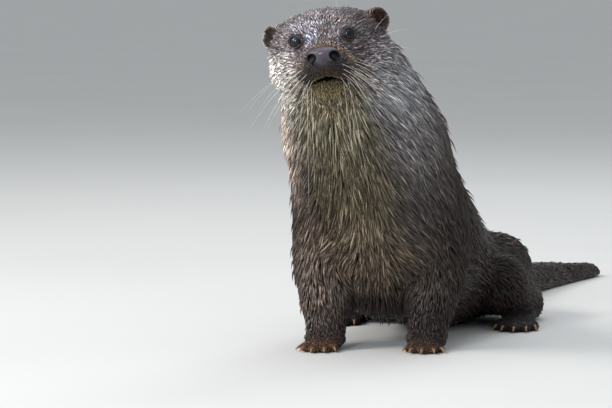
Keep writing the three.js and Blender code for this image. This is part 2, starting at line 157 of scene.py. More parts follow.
@dataclass(frozen=True)
class Cone(Shape):
    """A ball at each end and the straight sides that join them."""

    start: Triple
    start_radius: float
    end: Triple
    end_radius: float

    def distance(self, points: Array) -> Array:
        """Distance to the surface.

        Args:
            points: Where it is asked for.

        Returns:
            The distances.
        """
        run = np.subtract(self.end, self.start)
        length = float(np.linalg.norm(run))
        offset = points - np.float32(self.start)
        along = offset @ np.float32(run / length)
        across = np.sqrt(np.maximum((offset * offset).sum(-1) - along * along, 0))
        sine = (self.start_radius - self.end_radius) / length
        cosine = math.sqrt(max(1 - sine * sine, 0))
        turn = along * cosine - across * sine
        at_start = np.hypot(across, along) - self.start_radius
        at_end = np.hypot(across, along - length) - self.end_radius
        beside = across * cosine + along * sine - self.start_radius
        return np.where(turn < 0, at_start, np.where(turn > cosine * length, at_end, beside))

    def box(self) -> tuple[Array, Array]:
        """Lowest and highest corners."""
        return Blend((sphere(self.start_radius, self.start), sphere(self.end_radius, self.end))).box()

    def on(self, side: int) -> Cone:
        """The cone on one side of the body."""
        start, end = on_side(side, self.start), on_side(side, self.end)
        return Cone(start, self.start_radius, end, self.end_radius)


@dataclass(frozen=True)
class Blend(Shape):
    """Several shapes joined, rounded where they meet."""

    shapes: tuple[Shape, ...]
    softness: float = 0.0

    def distance(self, points: Array) -> Array:
        """Distance from each point to the joined surface."""
        return reduce(lambda a, b: soft_least(a, b, self.softness), (s.distance(points) for s in self.shapes))

    def box(self) -> tuple[Array, Array]:
        """Lowest and highest corners."""
        lows, highs = zip(*(shape.box() for shape in self.shapes))
        return np.min(lows, axis=0), np.max(highs, axis=0)

    def sample(self, lattice: Lattice, block: Block) -> Array:
        """Distances at the lattice's points in a block."""
        nothing = np.full(block.size(), lattice.far, np.float32)
        return lattice.join(nothing, self.shapes, block, self.softness)


@dataclass(frozen=True)
class Carved(Shape):
    """A shape with others cut out of it."""

    shape: Shape
    cutters: tuple[Shape, ...]
    softness: float = 0.0

    def distance(self, points: Array) -> Array:
        """Distance from each point to what is left of the surface."""
        cuts = (cutter.distance(points) for cutter in self.cutters)
        return -reduce(lambda a, b: soft_least(a, b, self.softness), cuts, -self.shape.distance(points))

    def box(self) -> tuple[Array, Array]:
        """Lowest and highest corners."""
        return self.shape.box()

    def sample(self, lattice: Lattice, block: Block) -> Array:
        """Distances at the lattice's points in a block."""
        return -lattice.join(-self.shape.sample(lattice, block), self.cutters, block, self.softness)


@dataclass(frozen=True)
class Ground(Shape):
    """All that lies under a level."""

    level: float

    def distance(self, points: Array) -> Array:
        """Height of each point above the level."""
        return points[..., 2] - np.float32(self.level)

    def box(self) -> tuple[Array, Array]:
        """Lowest and highest corners, wide enough for any lattice."""
        return np.full(3, -BOUNDLESS), np.array((BOUNDLESS, BOUNDLESS, self.level + 1))


@dataclass(frozen=True)
class Frame:
    """A place and the directions of its axes, which are the columns of `axes`."""

    origin: Array
    axes: Array

    @staticmethod
    def turned(origin: Sequence[float], *turns: tuple[str, float]) -> Frame:
        """Frame at `origin` turned about its axes.

        Args:
            origin: Where the frame is.
            turns: Axis letters with angles in degrees; the last one is applied first.

        Returns:
            The frame.
        """
        axes = np.eye(3)
        for letter, degrees in turns:
            first, second = {"x": (1, 2), "y": (2, 0), "z": (0, 1)}[letter]
            sine, cosine = math.sin(math.radians(degrees)), math.cos(math.radians(degrees))
            turn = np.eye(3)
            turn[first, first] = turn[second, second] = cosine
            turn[first, second] = -sine
            turn[second, first] = sine
            axes = axes @ turn
        return Frame(np.array(origin, float), axes)

    def outward(self, points: Sequence) -> Array:
        """Points given in this frame, in the frame that holds it."""
        return self.origin + np.asarray(points, float) @ self.axes.T

    def inward(self, points: Array) -> Array:
        """Points of the outer frame, in this one."""
        return (points - self.origin.astype(points.dtype)) @ self.axes.astype(points.dtype)

    def holding(self, inner: Frame) -> Frame:
        """A frame given in this one, in the frame that holds this one."""
        return Frame(self.outward(inner.origin), self.axes @ inner.axes)


@dataclass(frozen=True)
class Placed(Shape):
    """A shape given in a frame of its own."""

    shape: Shape
    place: Frame

    def distance(self, points: Array) -> Array:
        """Distance from each point to the surface."""
        return self.shape.distance(self.place.inward(points))

    def box(self) -> tuple[Array, Array]:
        """Lowest and highest corners."""
        corners = self.place.outward(list(product(*zip(*self.shape.box()))))
        return corners.min(0), corners.max(0)


# ---------------- lattice


@dataclass(frozen=True)
class Block:
    """A run of lattice points along each axis."""

    low: tuple[int, int, int]
    high: tuple[int, int, int]

    def size(self) -> tuple[int, ...]:
        """Number of points along each axis."""
        return tuple(max(high - low, 0) for low, high in zip(self.low, self.high))

    def within(self, other: Block) -> Block:
        """The part of this block that lies in another."""
        low = tuple(np.maximum(self.low, other.low))
        return Block(low, tuple(np.minimum(self.high, other.high)))

    def slices(self, start: Sequence[int] = (0, 0, 0)) -> tuple[slice, ...]:
        """Slices of an array whose first point is at `start`."""
        return tuple(slice(low - s, high - s) for low, high, s in zip(self.low, self.high, start))


class Lattice:
    """Distances to a shape at the points of a grid that is finer where more detail is."""

    far = 60.0
    clearance = 15.0

    def __init__(self, shape: Shape, axes: Sequence[Array]) -> None:
        """Samples the shape.

        Args:
            shape: What to sample.
            axes: Coordinates of the grid's planes along each axis.
        """
        self.axes = tuple(np.asarray(axis, np.float32) for axis in axes)
        whole = Block((0, 0, 0), tuple(len(axis) for axis in self.axes))
        self.values = shape.sample(self, whole)

    def block(self, low: Array, high: Array, margin: float) -> Block:
        """Block of the points between two corners and some way outside them.

        Args:
            low: The lowest corner.
            high: The highest corner.
            margin: How far outside them, beyond the usual clearance.

        Returns:
            The block.
        """
        reach = self.clearance + margin
        first = [int(np.searchsorted(axis, value - reach)) for axis, value in zip(self.axes, low)]
        last = [int(np.searchsorted(axis, value + reach)) for axis, value in zip(self.axes, high)]
        return Block(tuple(first), tuple(last))

    def join(self, values: Array, shapes: Sequence[Shape], block: Block, softness: float) -> Array:
        """Joins shapes to distances in a block, each only in the space around itself.

        Args:
            values: The distances, which are changed.
            shapes: What to join.
            block: The block.
            softness: How wide the rounding is where they meet.

        Returns:
            The same distances.
        """
        for shape in shapes:
            part = self.block(*shape.box(), softness).within(block)
            if min(part.size()) > 0:
                inner = part.slices(block.low)
                values[inner] = soft_least(values[inner], shape.sample(self, part), softness)
        return values

    def points(self, block: Block) -> Array:
        """Coordinates of a block's points."""
        runs = [axis[part] for axis, part in zip(self.axes, block.slices())]
        return np.stack(np.meshgrid(*runs, indexing="ij"), -1).reshape(-1, 3)

    def read(self, points: Array) -> Array:
        """Distance to the shape, between the grid's points too.

        Args:
            points: Where it is asked for.

        Returns:
            The distances.
        """
        cells = []
        shares = []
        for axis, column in zip(self.axes, points.T):
            cell = np.clip(np.searchsorted(axis, column) - 1, 0, len(axis) - 2)
            cells.append(cell)
            shares.append((column - axis[cell]) / (axis[cell + 1] - axis[cell]))
        total = np.zeros(len(points))
        for corner in product((0, 1), repeat=3):
            weight = np.prod([s if c else 1 - s for s, c in zip(shares, corner)], axis=0)
            total += weight * self.values[tuple(cell + c for cell, c in zip(cells, corner))]
        return total

    def slope(self, points: Array, reach: float = 1.2) -> Array:
        """Direction straight out of the shape at each point."""
        steps = np.eye(3) * reach
        return unit(np.stack([self.read(points + step) - self.read(points - step) for step in steps], -1))

    def settle(self, points: Array, height: Array | float, rounds: int = 2) -> Array:
        """Moves points to a height above the surface.

        Args:
            points: Where they are.
            height: The height, for all or for each.
            rounds: How many times they are moved, each closer than the last.

        Returns:
            Where they end.
        """
        for _ in range(rounds):
            points = points + (height - self.read(points))[:, None] * self.slope(points)
        return points

    def mesh(self) -> tuple[Array, Array]:
        """Closed surface where the distance is 0.

        Returns:
            The vertices, and four vertex numbers for each face.
        """
        inside = self.values < 0
        size = [n - 1 for n in inside.shape]
        count = np.zeros(size, np.uint8)
        for corner in product((0, 1), repeat=3):
            count += inside[tuple(slice(c, c + n) for c, n in zip(corner, size))]
        mixed = (count > 0) & (count < 8)
        cells = np.argwhere(mixed)
        number = np.full(size, -1, np.int32)
        number[mixed] = np.arange(len(cells))
        total = np.zeros((len(cells), 3))
        hits = np.zeros(len(cells))
        for axis in range(3):
            others = [a for a in range(3) if a != axis]
            for shift in product((0, 1), repeat=2):
                start = cells.copy()
                start[:, others] += shift
                end = start.copy()
                end[:, axis] += 1
                low, high = self.values[tuple(start.T)], self.values[tuple(end.T)]
                crossed = (low < 0) != (high < 0)
                place = (start - cells).astype(float)
                place[:, axis] = low / np.where(crossed, low - high, 1)
                total[crossed] += place[crossed]
                hits += crossed
        shares = total / hits[:, None]
        columns = [
            axis[cell] + share * (axis[cell + 1] - axis[cell])
            for axis, cell, share in zip(self.axes, cells.T, shares.T)
        ]
        faces = [self._walls(inside, number, axis) for axis in range(3)]
        return np.stack(columns, -1), np.concatenate(faces)

    @staticmethod
    def _walls(inside: Array, number: Array, axis: int) -> Array:
        """Faces across the grid's edges along one axis.

        Args:
            inside: Whether each of the grid's points is in the shape.
            number: Vertex number of each cell.
            axis: The axis.

        Returns:
            Four vertex numbers for each face.
        """
        second, third = (axis + 1) % 3, (axis + 2) % 3
        lower = np.moveaxis(inside, (axis, second, third), (0, 1, 2))
        cells = np.moveaxis(number, (axis, second, third), (0, 1, 2))
        change = lower[:-1, 1:-1, 1:-1] != lower[1:, 1:-1, 1:-1]
        i, j, k = np.nonzero(change)
        loop = [cells[i, j + b, k + c] for b, c in ((0, 0), (1, 0), (1, 1), (0, 1))]
        faces = np.stack(loop, -1)
        outward = lower[i, j + 1, k + 1]
        return np.where(outward[:, None], faces, faces[:, ::-1])


def unit(vectors: Array) -> Array:
    """Vectors of length 1 in the same directions."""
    return vectors / np.maximum(np.linalg.norm(vectors, axis=-1, keepdims=True), 1e-9)


def graded(start: float, *stretches: tuple[float, float]) -> Array:
    """Coordinates along an axis.

    Args:
        start: The first coordinate.
        stretches: For each stretch, where it ends and the step in it.

    Returns:
        The coordinates.
    """
    values = [start]
    for end, step in stretches:
        count = max(round((end - values[-1]) / step), 1)
        values.extend(np.linspace(values[-1], end, count + 1)[1:])
    return np.array(values)


def smooth_line(stations: Array, steps: int) -> Array:
    """Points of a centripetal spline.

    Args:
        stations: The points it runs through.
        steps: Number of points for each span.

    Returns:
        The points, with both ends.
    """
    stations = np.asarray(stations, float)
    ends = 2 * stations[[0, -1]] - stations[[1, -2]]
    padded = np.concatenate([ends[:1], stations, ends[1:]])
    result = []
    for x0, x1, x2, x3 in zip(padded, padded[1:], padded[2:], padded[3:]):
        gaps = [float(np.linalg.norm(b - a)) ** 0.5 for a, b in ((x0, x1), (x1, x2), (x2, x3))]
        middle = gaps[1] if gaps[1] > 1e-4 else 1.0
        first, last = (gap if gap > 1e-4 else middle for gap in (gaps[0], gaps[2]))
        leave = ((x1 - x0) / first - (x2 - x0) / (first + middle) + (x2 - x1) / middle) * middle
        arrive = ((x2 - x1) / middle - (x3 - x1) / (middle + last) + (x3 - x2) / last) * middle
        for t in np.arange(steps) / steps:
            cubic = 2 * x1 - 2 * x2 + leave + arrive
            square = -3 * x1 + 3 * x2 - 2 * leave - arrive
            result.append(x1 + t * (leave + t * (square + t * cubic)))
    result.append(stations[-1])
    return np.array(result)


# ---------------- the animal's form


class Zone(Enum):
    """A part of the coat that grows in one way."""

    FACE = "face"
    CROWN = "crown"
    EARS = "ears"
    NECK = "neck"
    CHEST = "chest"
    WAIST = "waist"
    HIPS = "hips"
    FORELEGS = "forelegs"
    THIGHS = "thighs"
    PAWS = "paws"
    TAIL = "tail"


@dataclass(frozen=True)
class Station:
    """A place along the spine or a limb: its centre, its radius out to the coat's tips, and its coat."""

    at: Triple
    radius: float
    depth: float
    hair: float
    zone: Zone
    spread: float = 0.0


@dataclass(frozen=True)
class Lie:
    """How the coat lies beside one length of bone, from `start` to `end`.

    A radial lie runs away from the muzzle instead.
    """

    start: Triple
    end: Triple
    radius: float
    depth: float
    hair: float
    zone: Zone
    radial: bool = False


def chain(stations: Sequence[Station], steps: int = 4, side: int = 0) -> Blend:
    """Skin along stations, under the coat.

    Args:
        stations: The stations in turn.
        steps: Cones between one and the next.
        side: Side that they are moved to by their spread.

    Returns:
        The skin.
    """
    centres = smooth_line([s.at for s in stations], steps)
    sizes = smooth_line([(s.radius, s.spread) for s in stations], steps)
    places = np.arange(len(centres)) / steps
    depths = np.interp(places, np.arange(len(stations)), [s.depth for s in stations])
    centres[:, 0] += side * sizes[:, 1]
    radii = sizes[:, 0] - depths
    pairs = zip(centres, radii, centres[1:], radii[1:])
    return Blend(tuple(Cone(tuple(a), ra, tuple(b), rb) for a, ra, b, rb in pairs))


def lies_along(stations: Sequence[Station]) -> list[Lie]:
    """Lies of the coat between neighbouring stations."""
    spans = ((a, b, (a.radius + b.radius) / 2) for a, b in zip(stations, stations[1:]))
    return [Lie(a.at, b.at, radius - a.depth, a.depth, a.hair, a.zone) for a, b, radius in spans]


@dataclass(frozen=True)
class Trunk:
    """Neck, body and tail."""

    stations: tuple[Station, ...] = (
        Station((-28, -60, 264), 47, 6.0, 23, Zone.NECK, 8),
        Station((-21, -44, 232), 53, 6.5, 31, Zone.NECK, 13),
        Station((-13, -18, 188), 57, 6.5, 37, Zone.CHEST, 19),
        Station((-12, 18, 146), 57, 6.5, 37, Zone.CHEST, 19),
        Station((-6, 80, 106), 60, 6.0, 28, Zone.WAIST, 13),
        Station((-1, 160, 67), 57, 5.5, 25, Zone.WAIST, 9),
        Station((0, 245, 46.6), 47, 4.2, 18, Zone.HIPS, 10),
        Station((2, 296, 35.6), 36, 3.8, 17, Zone.HIPS, 8),
        Station((4, 340, 23.7), 24, 3.5, 18, Zone.TAIL, 6),
        Station((10, 420, 18), 18.5, 3.0, 16, Zone.TAIL, 4.5),
        Station((22, 515, 13.5), 14, 2.4, 14, Zone.TAIL, 3),
        Station((38, 605, 9.3), 9.8, 2.0, 12, Zone.TAIL, 1.5),
        Station((58, 690, 5.5), 5.2, 1.4, 11, Zone.TAIL),
        Station((62, 708, 4.6), 2.8, 0.8, 10, Zone.TAIL),
    )
    spread_blend: float = 22
    brisket: Cone = Cone((-8, -2, 124), 37.5, (-10, 42, 77), 45)
    belly: Lie = Lie((-8, 0, 92), (-9, 50, 74), 44, 10, 24, Zone.CHEST)
    brisket_blend: float = 24

    def shape(self) -> Shape:
        """Skin of the whole trunk and tail."""
        halves = Blend((chain(self.stations, side=LEFT), chain(self.stations, side=RIGHT)), self.spread_blend)
        return Blend((halves, self.brisket), self.brisket_blend)

    def lies(self) -> list[Lie]:
        """How the coat lies along the trunk and tail, and hangs under the belly."""
        return [*lies_along(self.stations), self.belly]


@dataclass(frozen=True)
class Toe:
    """A toe's bone, with the claw at its end."""

    start: Triple
    end: Triple
    claw_start: Triple
    claw_end: Triple


@dataclass(frozen=True)
class Paw:
    """Toes that fan out from one place, with webs between them and a claw on each."""

    fan: tuple[float, ...]
    lengths: tuple[float, ...]
    toe_radius: float
    tip_radius: float
    depth: float = 0.7
    webs: tuple[float, ...] = (0.3, 0.45, 0.6, 0.72)
    web_radius: float = 2.4
    facet_depth: float = math.cos(math.pi / 6)
    press: float = 0.5
    claw_length: float = 9
    claw_root: float = 0.5
    claw_rise: float = 0.6
    claw_tip_height: float = 1.4

    def toes(self, root: Triple, heading: float) -> list[Toe]:
        """Lays the toes out.

        Args:
            root: Where they meet.
            heading: Way the middle one points, in degrees from straight ahead.

        Returns:
            The toes.
        """

        def ahead(start: Triple, angle: float, length: float, height: float) -> Triple:
            """Point some way ahead of another, at a height."""
            return (start[0] + math.sin(angle) * length, start[1] - math.cos(angle) * length, height)

        tip_height = self.tip_radius * self.facet_depth - self.press
        made = []
        for turn, length in zip(self.fan, self.lengths):
            angle = math.radians(heading + turn)
            tip = ahead(root, angle, length, tip_height)
            claw = ahead(tip, angle, self.tip_radius * self.claw_root, tip_height + self.claw_rise)
            made.append(Toe(root, tip, claw, ahead(claw, angle, self.claw_length, self.claw_tip_height)))
        return made

    def shape(self, toes: Sequence[Toe]) -> list[Shape]:
        """Skin of the toes and webs.

        Args:
            toes: The toes, from one side to the other.

        Returns:
            Its parts.
        """
        radii = (self.toe_radius - self.depth, self.tip_radius - self.depth)
        parts: list[Shape] = [Cone(toe.start, radii[0], toe.end, radii[1]) for toe in toes]
        for first, second in zip(toes, toes[1:]):
            for share in self.webs:
                ends = [tuple(np.add(t.start, np.subtract(t.end, t.start) * share)) for t in (first, second)]
                parts.append(Cone(ends[0], self.web_radius, ends[1], self.web_radius))
        return parts


@dataclass(frozen=True)
class Leg:
    """One leg: its bones from the body down, its sole, toes and how it joins the body."""

    bones: tuple[Station, ...]
    sole: Shape
    paw: Paw
    toe_root: Triple
    heading: float
    muscle: tuple[Shape, ...] = ()
    extra: tuple[Lie, ...] = ()
    blend: float = 12
    toe_blend: float = 3
    toe_depth: float = 1.0
    toe_hair: float = 3.6
    foot_depth: float = 1.2
    foot_hair: float = 5

    def toes(self) -> list[Toe]:
        """The leg's toes."""
        return self.paw.toes(self.toe_root, self.heading)

    def shape(self) -> Shape:
        """Skin of the leg and paw."""
        foot = Blend((self.sole, *self.paw.shape(self.toes())), self.toe_blend)
        return Blend((chain(self.bones), *self.muscle, foot), self.blend)

    def lies(self) -> list[Lie]:
        """How the coat lies along the leg and toes.

        Returns:
            The lies, from the body down.
        """
        wide, ankle = self.paw.toe_radius, self.bones[-1].at
        foot = Lie(ankle, self.toe_root, wide * 2, self.foot_depth, self.foot_hair, Zone.PAWS)
        toes = [Lie(t.start, t.end, wide, self.toe_depth, self.toe_hair, Zone.PAWS) for t in self.toes()]
        return [*lies_along(self.bones), *self.extra, foot, *toes]


FOREPAW = Paw((-32, -16, 0, 16, 32), (26, 32, 35, 32, 26), 5.6, 4.6)
HINDPAW = Paw((-20, -10, 0, 10, 20), (50, 60, 64, 60, 50), 6.6, 5.4)
FORELEG_SIZES = ((33, 5.5, 27), (28.5, 3.4, 17), (23.5, 1.9, 9.5), (18.5, 1.3, 6))
PALM_RADII = (17, 17, 9)
PALM_TO_TOES = (0, 6, -1.5)


def foreleg(joints: Joints, heading: float) -> Leg:
    """Foreleg with its palm on the ground.

    Args:
        joints: Centres of the shoulder, elbow, forearm, wrist and palm.
        heading: Way the toes point, in degrees from straight ahead.

    Returns:
        The leg.
    """
    *upper, palm = joints
    bones = tuple(Station(at, *sizes, Zone.FORELEGS) for at, sizes in zip(upper, FORELEG_SIZES))
    return Leg(bones, Ball(palm, PALM_RADII), FOREPAW, tuple(np.add(palm, PALM_TO_TOES)), heading)


def hind_leg(side: int) -> Leg:
    """Folded hind leg with its long foot flat on the ground.

    Args:
        side: Its side of the body.

    Returns:
        The leg.
    """
    middle = -3
    splay = 6

    def place(x: float, y: float, z: float) -> Triple:
        """Point of the left leg, or its mirror image."""
        return (x if side == LEFT else 2 * middle - x, y, z)

    bones = (
        Station(place(66, 202, 38), 24, 3.0, 15, Zone.THIGHS),
        Station(place(76, 272, 18), 15.5, 1.8, 8, Zone.THIGHS),
    )
    muscle = Blend(
        (
            Cone(place(44, 258, 50), 32, place(62, 200, 44), 25),
            Ball(place(48, 254, 46), (32, 52, 37)),
        ),
        14,
    )
    thigh = (
        Lie(place(44, 250, 60), place(50, 262, 30), 34, 3.0, 13, Zone.THIGHS),
        Lie(place(60, 200, 50), place(62, 222, 30), 28, 2.8, 12, Zone.THIGHS),
    )
    ball = place(82, 220, 9)
    sole = Cone(place(76, 274, 11.5), 11, ball, 11.7)
    return Leg(bones, sole, HINDPAW, ball, side * splay, (muscle,), thigh)


@dataclass(frozen=True)
class Head:
    """Head in a frame of its own: x to the animal's left, y to the back, z up."""

    at: Triple = (-31, -90, 280)
    yaw: float = 11
    pitch: float = 1.5
    roll: float = 8.5
    blend: float = 12
    cranium: Ball = Ball((0, 8, 4), (46.8, 47.8, 31.8))
    cheek: Ball = Ball((26, 4, -14), (24.5, 34.5, 23.5))
    brow: Ball = Ball((22, -27, 13), (10, 11, 7))
    bridge: Cone = Cone((0, -8, 8), 20.8, (0, -52, -5), 9.5)
    muzzle: Cone = Cone((0, -18, -12), 28.5, (0, -46, -15), 15.8)
    pad: Ball = Ball((12, -46, -17), (13.4, 13, 11.4))
    jaw: Cone = Cone((0, -15, -27), 20, (0, -45, -30), 9)
    temple: Ball = Ball((25, 12, 9), (19, 30, 18.5))
    eye_look: Triple = (0.5, -0.84, 0.08)
    socket: float = 6.1
    hairless: float = 6.9
    lid_radius: float = 7.1
    lid_blend: float = 2.5
    lid_opening: Triple = (6.2, 5.5, 6.3)
    lid_reach: float = 6.3
    ear: Triple = (47.8, 11, 19.5)
    ear_lifts: tuple[float, float] = (1.0, -1.2)
    ear_turn: float = 28
    ear_lean: float = 8
    ear_radii: Triple = (9.4, 7.8, 10.4)
    ear_bowl: Ball = Ball((0, -5.6, 0.5), (6.9, 8.8, 7.8))
    ear_blend: float = 5
    mouth: Triple = (0, -57, -25.4)
    mouth_half: float = 16
    mouth_back: float = 15
    mouth_drop: float = 3.4
    mouth_radii: Triple = (3.4, 7.5, 1.1)
    mouth_gape: float = 2.2
    mouth_beads: int = 13
    mouth_blend: float = 1.0
    cut_blend: float = 1.2
    hair_source: Triple = (0, -62, -14)

    def place(self) -> Frame:
        """The head's frame."""
        return Frame.turned(self.at, ("z", self.yaw), ("x", -self.pitch), ("y", -self.roll))

    def eye(self, name: str) -> Frame:
        """Frame at an eyeball's centre, in the head's: x across, y straight in, z up the eye.

        Args:
            name: The eye's side.

        Returns:
            The frame.
        """
        centre = (np.sum(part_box(f"eye_{name}"), axis=0) / 2 / MM) - ORIGIN
        inward = -unit(np.array(on_side(SIDES[name], self.eye_look)))
        across = unit(np.cross(inward, UP))
        axes = np.stack((across, inward, np.cross(across, inward)), -1)
        return Frame(self.place().inward(centre), axes)

    def ear_frame(self, side: int) -> Frame:
        """Frame of an ear, in the head's."""
        origin = np.add(on_side(side, self.ear), (0, 0, self.ear_lifts[side == RIGHT]))
        return Frame.turned(origin, ("z", side * self.ear_turn), ("x", -self.ear_lean))

    def lip(self, share: float) -> Triple:
        """Point of the line between the lips, at a share of its width from the middle, -1 to 1."""
        way = (share * self.mouth_half, self.mouth_back * share**2, -self.mouth_drop * share**2)
        return tuple(np.add(self.mouth, way))

    def _gape(self, share: float) -> Triple:
        """Radii of the hollow between the lips, at a share of the mouth's width from its middle."""
        across, deep, high = self.mouth_radii
        return (across, deep, high + self.mouth_gape * max(1 - 2 * share * share, 0))

    def shape(self) -> Shape:
        """Skin of the head, ears, lids and lips.

        Returns:
            The skin, in the animal's frame.
        """
        masses: list[Shape] = [self.cranium]
        for ball in (self.cheek, self.pad, self.brow, self.temple):
            masses += [ball.on(side) for side in SIDES.values()]
        skull = Blend((*masses, self.bridge, self.muzzle, self.jaw), self.blend)
        eyes = [self.eye(name) for name in SIDES]
        ears = [self.ear_frame(side) for side in SIDES.values()]
        swells = [Placed(sphere(self.lid_radius), eye) for eye in eyes]
        dishes = [Placed(Ball((0, 0, 0), self.ear_radii), ear) for ear in ears]
        whole = Blend((Blend((skull, *swells), self.lid_blend), *dishes), self.ear_blend)
        openings = [Placed(Ball((0, -self.lid_reach, 0), self.lid_opening), eye) for eye in eyes]
        bowls = [Placed(self.ear_bowl, ear) for ear in ears]
        beads = np.linspace(-1, 1, self.mouth_beads)
        slit = Blend(tuple(Ball(self.lip(share), self._gape(share)) for share in beads), self.mouth_blend)
        carved = Carved(whole, (*openings, *bowls, slit), self.cut_blend)
        sockets = tuple(Placed(sphere(self.socket), eye) for eye in eyes)
        return Placed(Carved(carved, sockets), self.place())

    def lies(self) -> list[Lie]:
        """How the coat lies over the head: short on the muzzle, longer towards the neck.

        Returns:
            The lies, in the animal's frame.
        """
        marks = (
            ((0, -58, -8), (0, -58, -8), 10, 0.6, 2.0, Zone.FACE),
            ((0, -46, -16), (0, -50, -12), 16, 1.1, 4.4, Zone.FACE),
            ((10, -44, -17), (16, -36, -15), 13, 1.3, 5.0, Zone.FACE),
            ((0, -45, -30), (0, -50, -29), 8, 1.4, 5.0, Zone.FACE),
            ((0, -40, 0), (0, -24, 6), 14, 1.1, 4.2, Zone.FACE),
            ((22, -27, 13), (14, -24, 12), 10, 1.3, 4.6, Zone.FACE),
            ((24, -26, -8), (30, -20, -6), 16, 1.8, 6.5, Zone.FACE),
            ((0, -8, 14), (12, -8, 13), 22, 1.8, 6.5, Zone.FACE),
            ((0, 16, 6), (16, 14, 6), 32, 2.0, 11, Zone.CROWN),
            ((34, 4, -12), (24, 8, -16), 22, 3.6, 17, Zone.CROWN),
            ((20, -26, -26), (16, -20, -28), 12, 2.6, 12, Zone.CROWN),
            ((0, -32, -36), (6, -24, -37), 10, 3.0, 13, Zone.CROWN),
            ((0, -18, -32), (10, -8, -30), 20, 4.2, 19, Zone.CROWN),
        )
        place = self.place()
        made = []
        for start, end, radius, depth, hair, zone in marks:
            for side in SIDES.values():
                ends = [tuple(place.outward(on_side(side, point))) for point in (start, end)]
                made.append(Lie(ends[0], ends[1], radius, depth, hair, zone, radial=True))
        for side in SIDES.values():
            ear = place.holding(self.ear_frame(side))
            ends = [tuple(ear.outward(on_side(side, point))) for point in ((-4, 2, -8), (2, 0, 6))]
            made.append(Lie(ends[0], ends[1], 6, 1.1, 3.6, Zone.EARS))
        return made


@dataclass(frozen=True)
class Form:
    """The whole animal under its coat."""

    trunk: Trunk = Trunk()
    head: Head = Head()
    fore_right: Joints = ((-57, 12, 142), (-62, 14, 88), (-59, 2, 54), (-55, -8, 26), (-53, -18, 9))
    fore_left: Joints = ((32, 24, 138), (41, 30, 86), (41, 20, 54), (39, 10, 26), (39, 0, 9))
    toes_right: float = -4
    toes_left: float = 6
    blend: float = 13
    ground: float = 0.25

    def legs(self) -> dict[str, Leg]:
        """The four legs.

        Returns:
            The legs by name.
        """
        return {
            "fore_right": foreleg(self.fore_right, self.toes_right),
            "fore_left": foreleg(self.fore_left, self.toes_left),
            "hind_right": hind_leg(RIGHT),
            "hind_left": hind_leg(LEFT),
        }

    def lattice(self) -> Lattice:
        """Distances to the skin.

        Returns:
            The lattice, finest at the head and fine at the feet.
        """
        parts = (self.trunk.shape(), *(leg.shape() for leg in self.legs().values()), self.head.shape())
        standing = Carved(Blend(parts, self.blend), (Ground(self.ground),))
        across = graded(-121, (-86, 3.0), (26, 1.26), (114, 3.1))
        along = graded(-162, (-62, 1.16), (60, 3.0), (718, 4.0))
        up = graded(-3, (24, 1.75), (236, 3.3), (326, 1.16))
        return Lattice(standing, (across, along, up))

    def lies(self) -> list[Lie]:
        """How the coat lies over the whole animal."""
        legs = [lie for leg in self.legs().values() for lie in leg.lies()]
        return [*self.trunk.lies(), *legs, *self.head.lies()]


# ---------------- meshes


def build_mesh(name: str, points: Array, faces: Array, smooth: bool = True) -> Piece:
    """Makes an object.

    Args:
        name: Its name.
        points: Its points, in the animal's frame.
        faces: Numbers of the points round each face, as many for one as for another.
        smooth: Whether its faces are shaded as one surface.

    Returns:
        The object.
    """
    mesh = bpy.data.meshes.new(name)
    sides = faces.shape[1]
    mesh.vertices.add(len(points))
    mesh.vertices.foreach_set("co", ((points + ORIGIN) * MM).astype(np.float32).ravel())
    mesh.loops.add(faces.size)
    mesh.loops.foreach_set("vertex_index", faces.astype(np.int32).ravel())
    mesh.polygons.add(len(faces))
    mesh.polygons.foreach_set("loop_start", np.arange(0, faces.size, sides, dtype=np.int32))
    mesh.update(calc_edges=True)
    mesh.polygons.foreach_set("use_smooth", np.full(len(faces), smooth))
    piece = bpy.data.objects.new(name, mesh)
    bpy.context.scene.collection.objects.link(piece)
    return piece


def add_values(piece: Piece, name: str, values: Array) -> None:
    """Gives each point of a piece a number that its finish can read."""
    layer = piece.data.attributes.new(name, "FLOAT", "POINT")
    layer.data.foreach_set("value", values.astype(np.float32))


def add_bake_map(piece: Piece, spots: Array) -> None:
    """Gives a piece its map for baking.

    Args:
        piece: The piece.
        spots: Place on the map of each of its points.
    """
    corners = np.empty(len(piece.data.loops), np.int32)
    piece.data.loops.foreach_get("vertex_index", corners)
    layer = piece.data.uv_layers.new(name="OFBake")
    layer.data.foreach_set("uv", spots[corners].astype(np.float32).ravel())


def mount(piece: Piece, slot: str, finish: Material) -> Piece:
    """Puts a piece on the animal's body and reports it.

    Args:
        piece: The piece.
        slot: Not used.
        finish: Its finish.

    Returns:
        The piece.
    """
    piece.data.materials.append(finish)
    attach(piece, BODY)
    LOG.info("%s: %d faces", piece.name, len(piece.data.polygons))
    return piece


def round_faces(rings: int, sides: int, bodies: int = 1) -> Array:
    """Triangles of closed bodies whose points are an end, rings in turn and the other end.

    Args:
        rings: Number of rings.
        sides: Number of points in each.
        bodies: Number of bodies.

    Returns:
        The triangles.
    """
    last = rings * sides + 1
    faces = []
    for side in range(sides):
        after = (side + 1) % sides
        faces += [(0, 1 + after, 1 + side), (last, last - sides + side, last - sides + after)]
        for low in range(1, last - sides, sides):
            high = low + sides
            faces += [(low + side, low + after, high + after), (low + side, high + after, high + side)]
    return (np.array(faces) + np.arange(bodies)[:, None, None] * (last + 1)).reshape(-1, 3)


def circle(first: Array, second: Array, sides: int) -> Array:
    """Rings of directions, evenly spaced.

    Args:
        first: Direction that each ring starts from.
        second: Direction a quarter of a turn further.
        sides: Number of directions in each ring.

    Returns:
        The directions of each ring.
    """
    angles = (np.arange(sides) / sides * 2 * math.pi)[None, :, None]
    return first[:, None] * np.cos(angles) + second[:, None] * np.sin(angles)


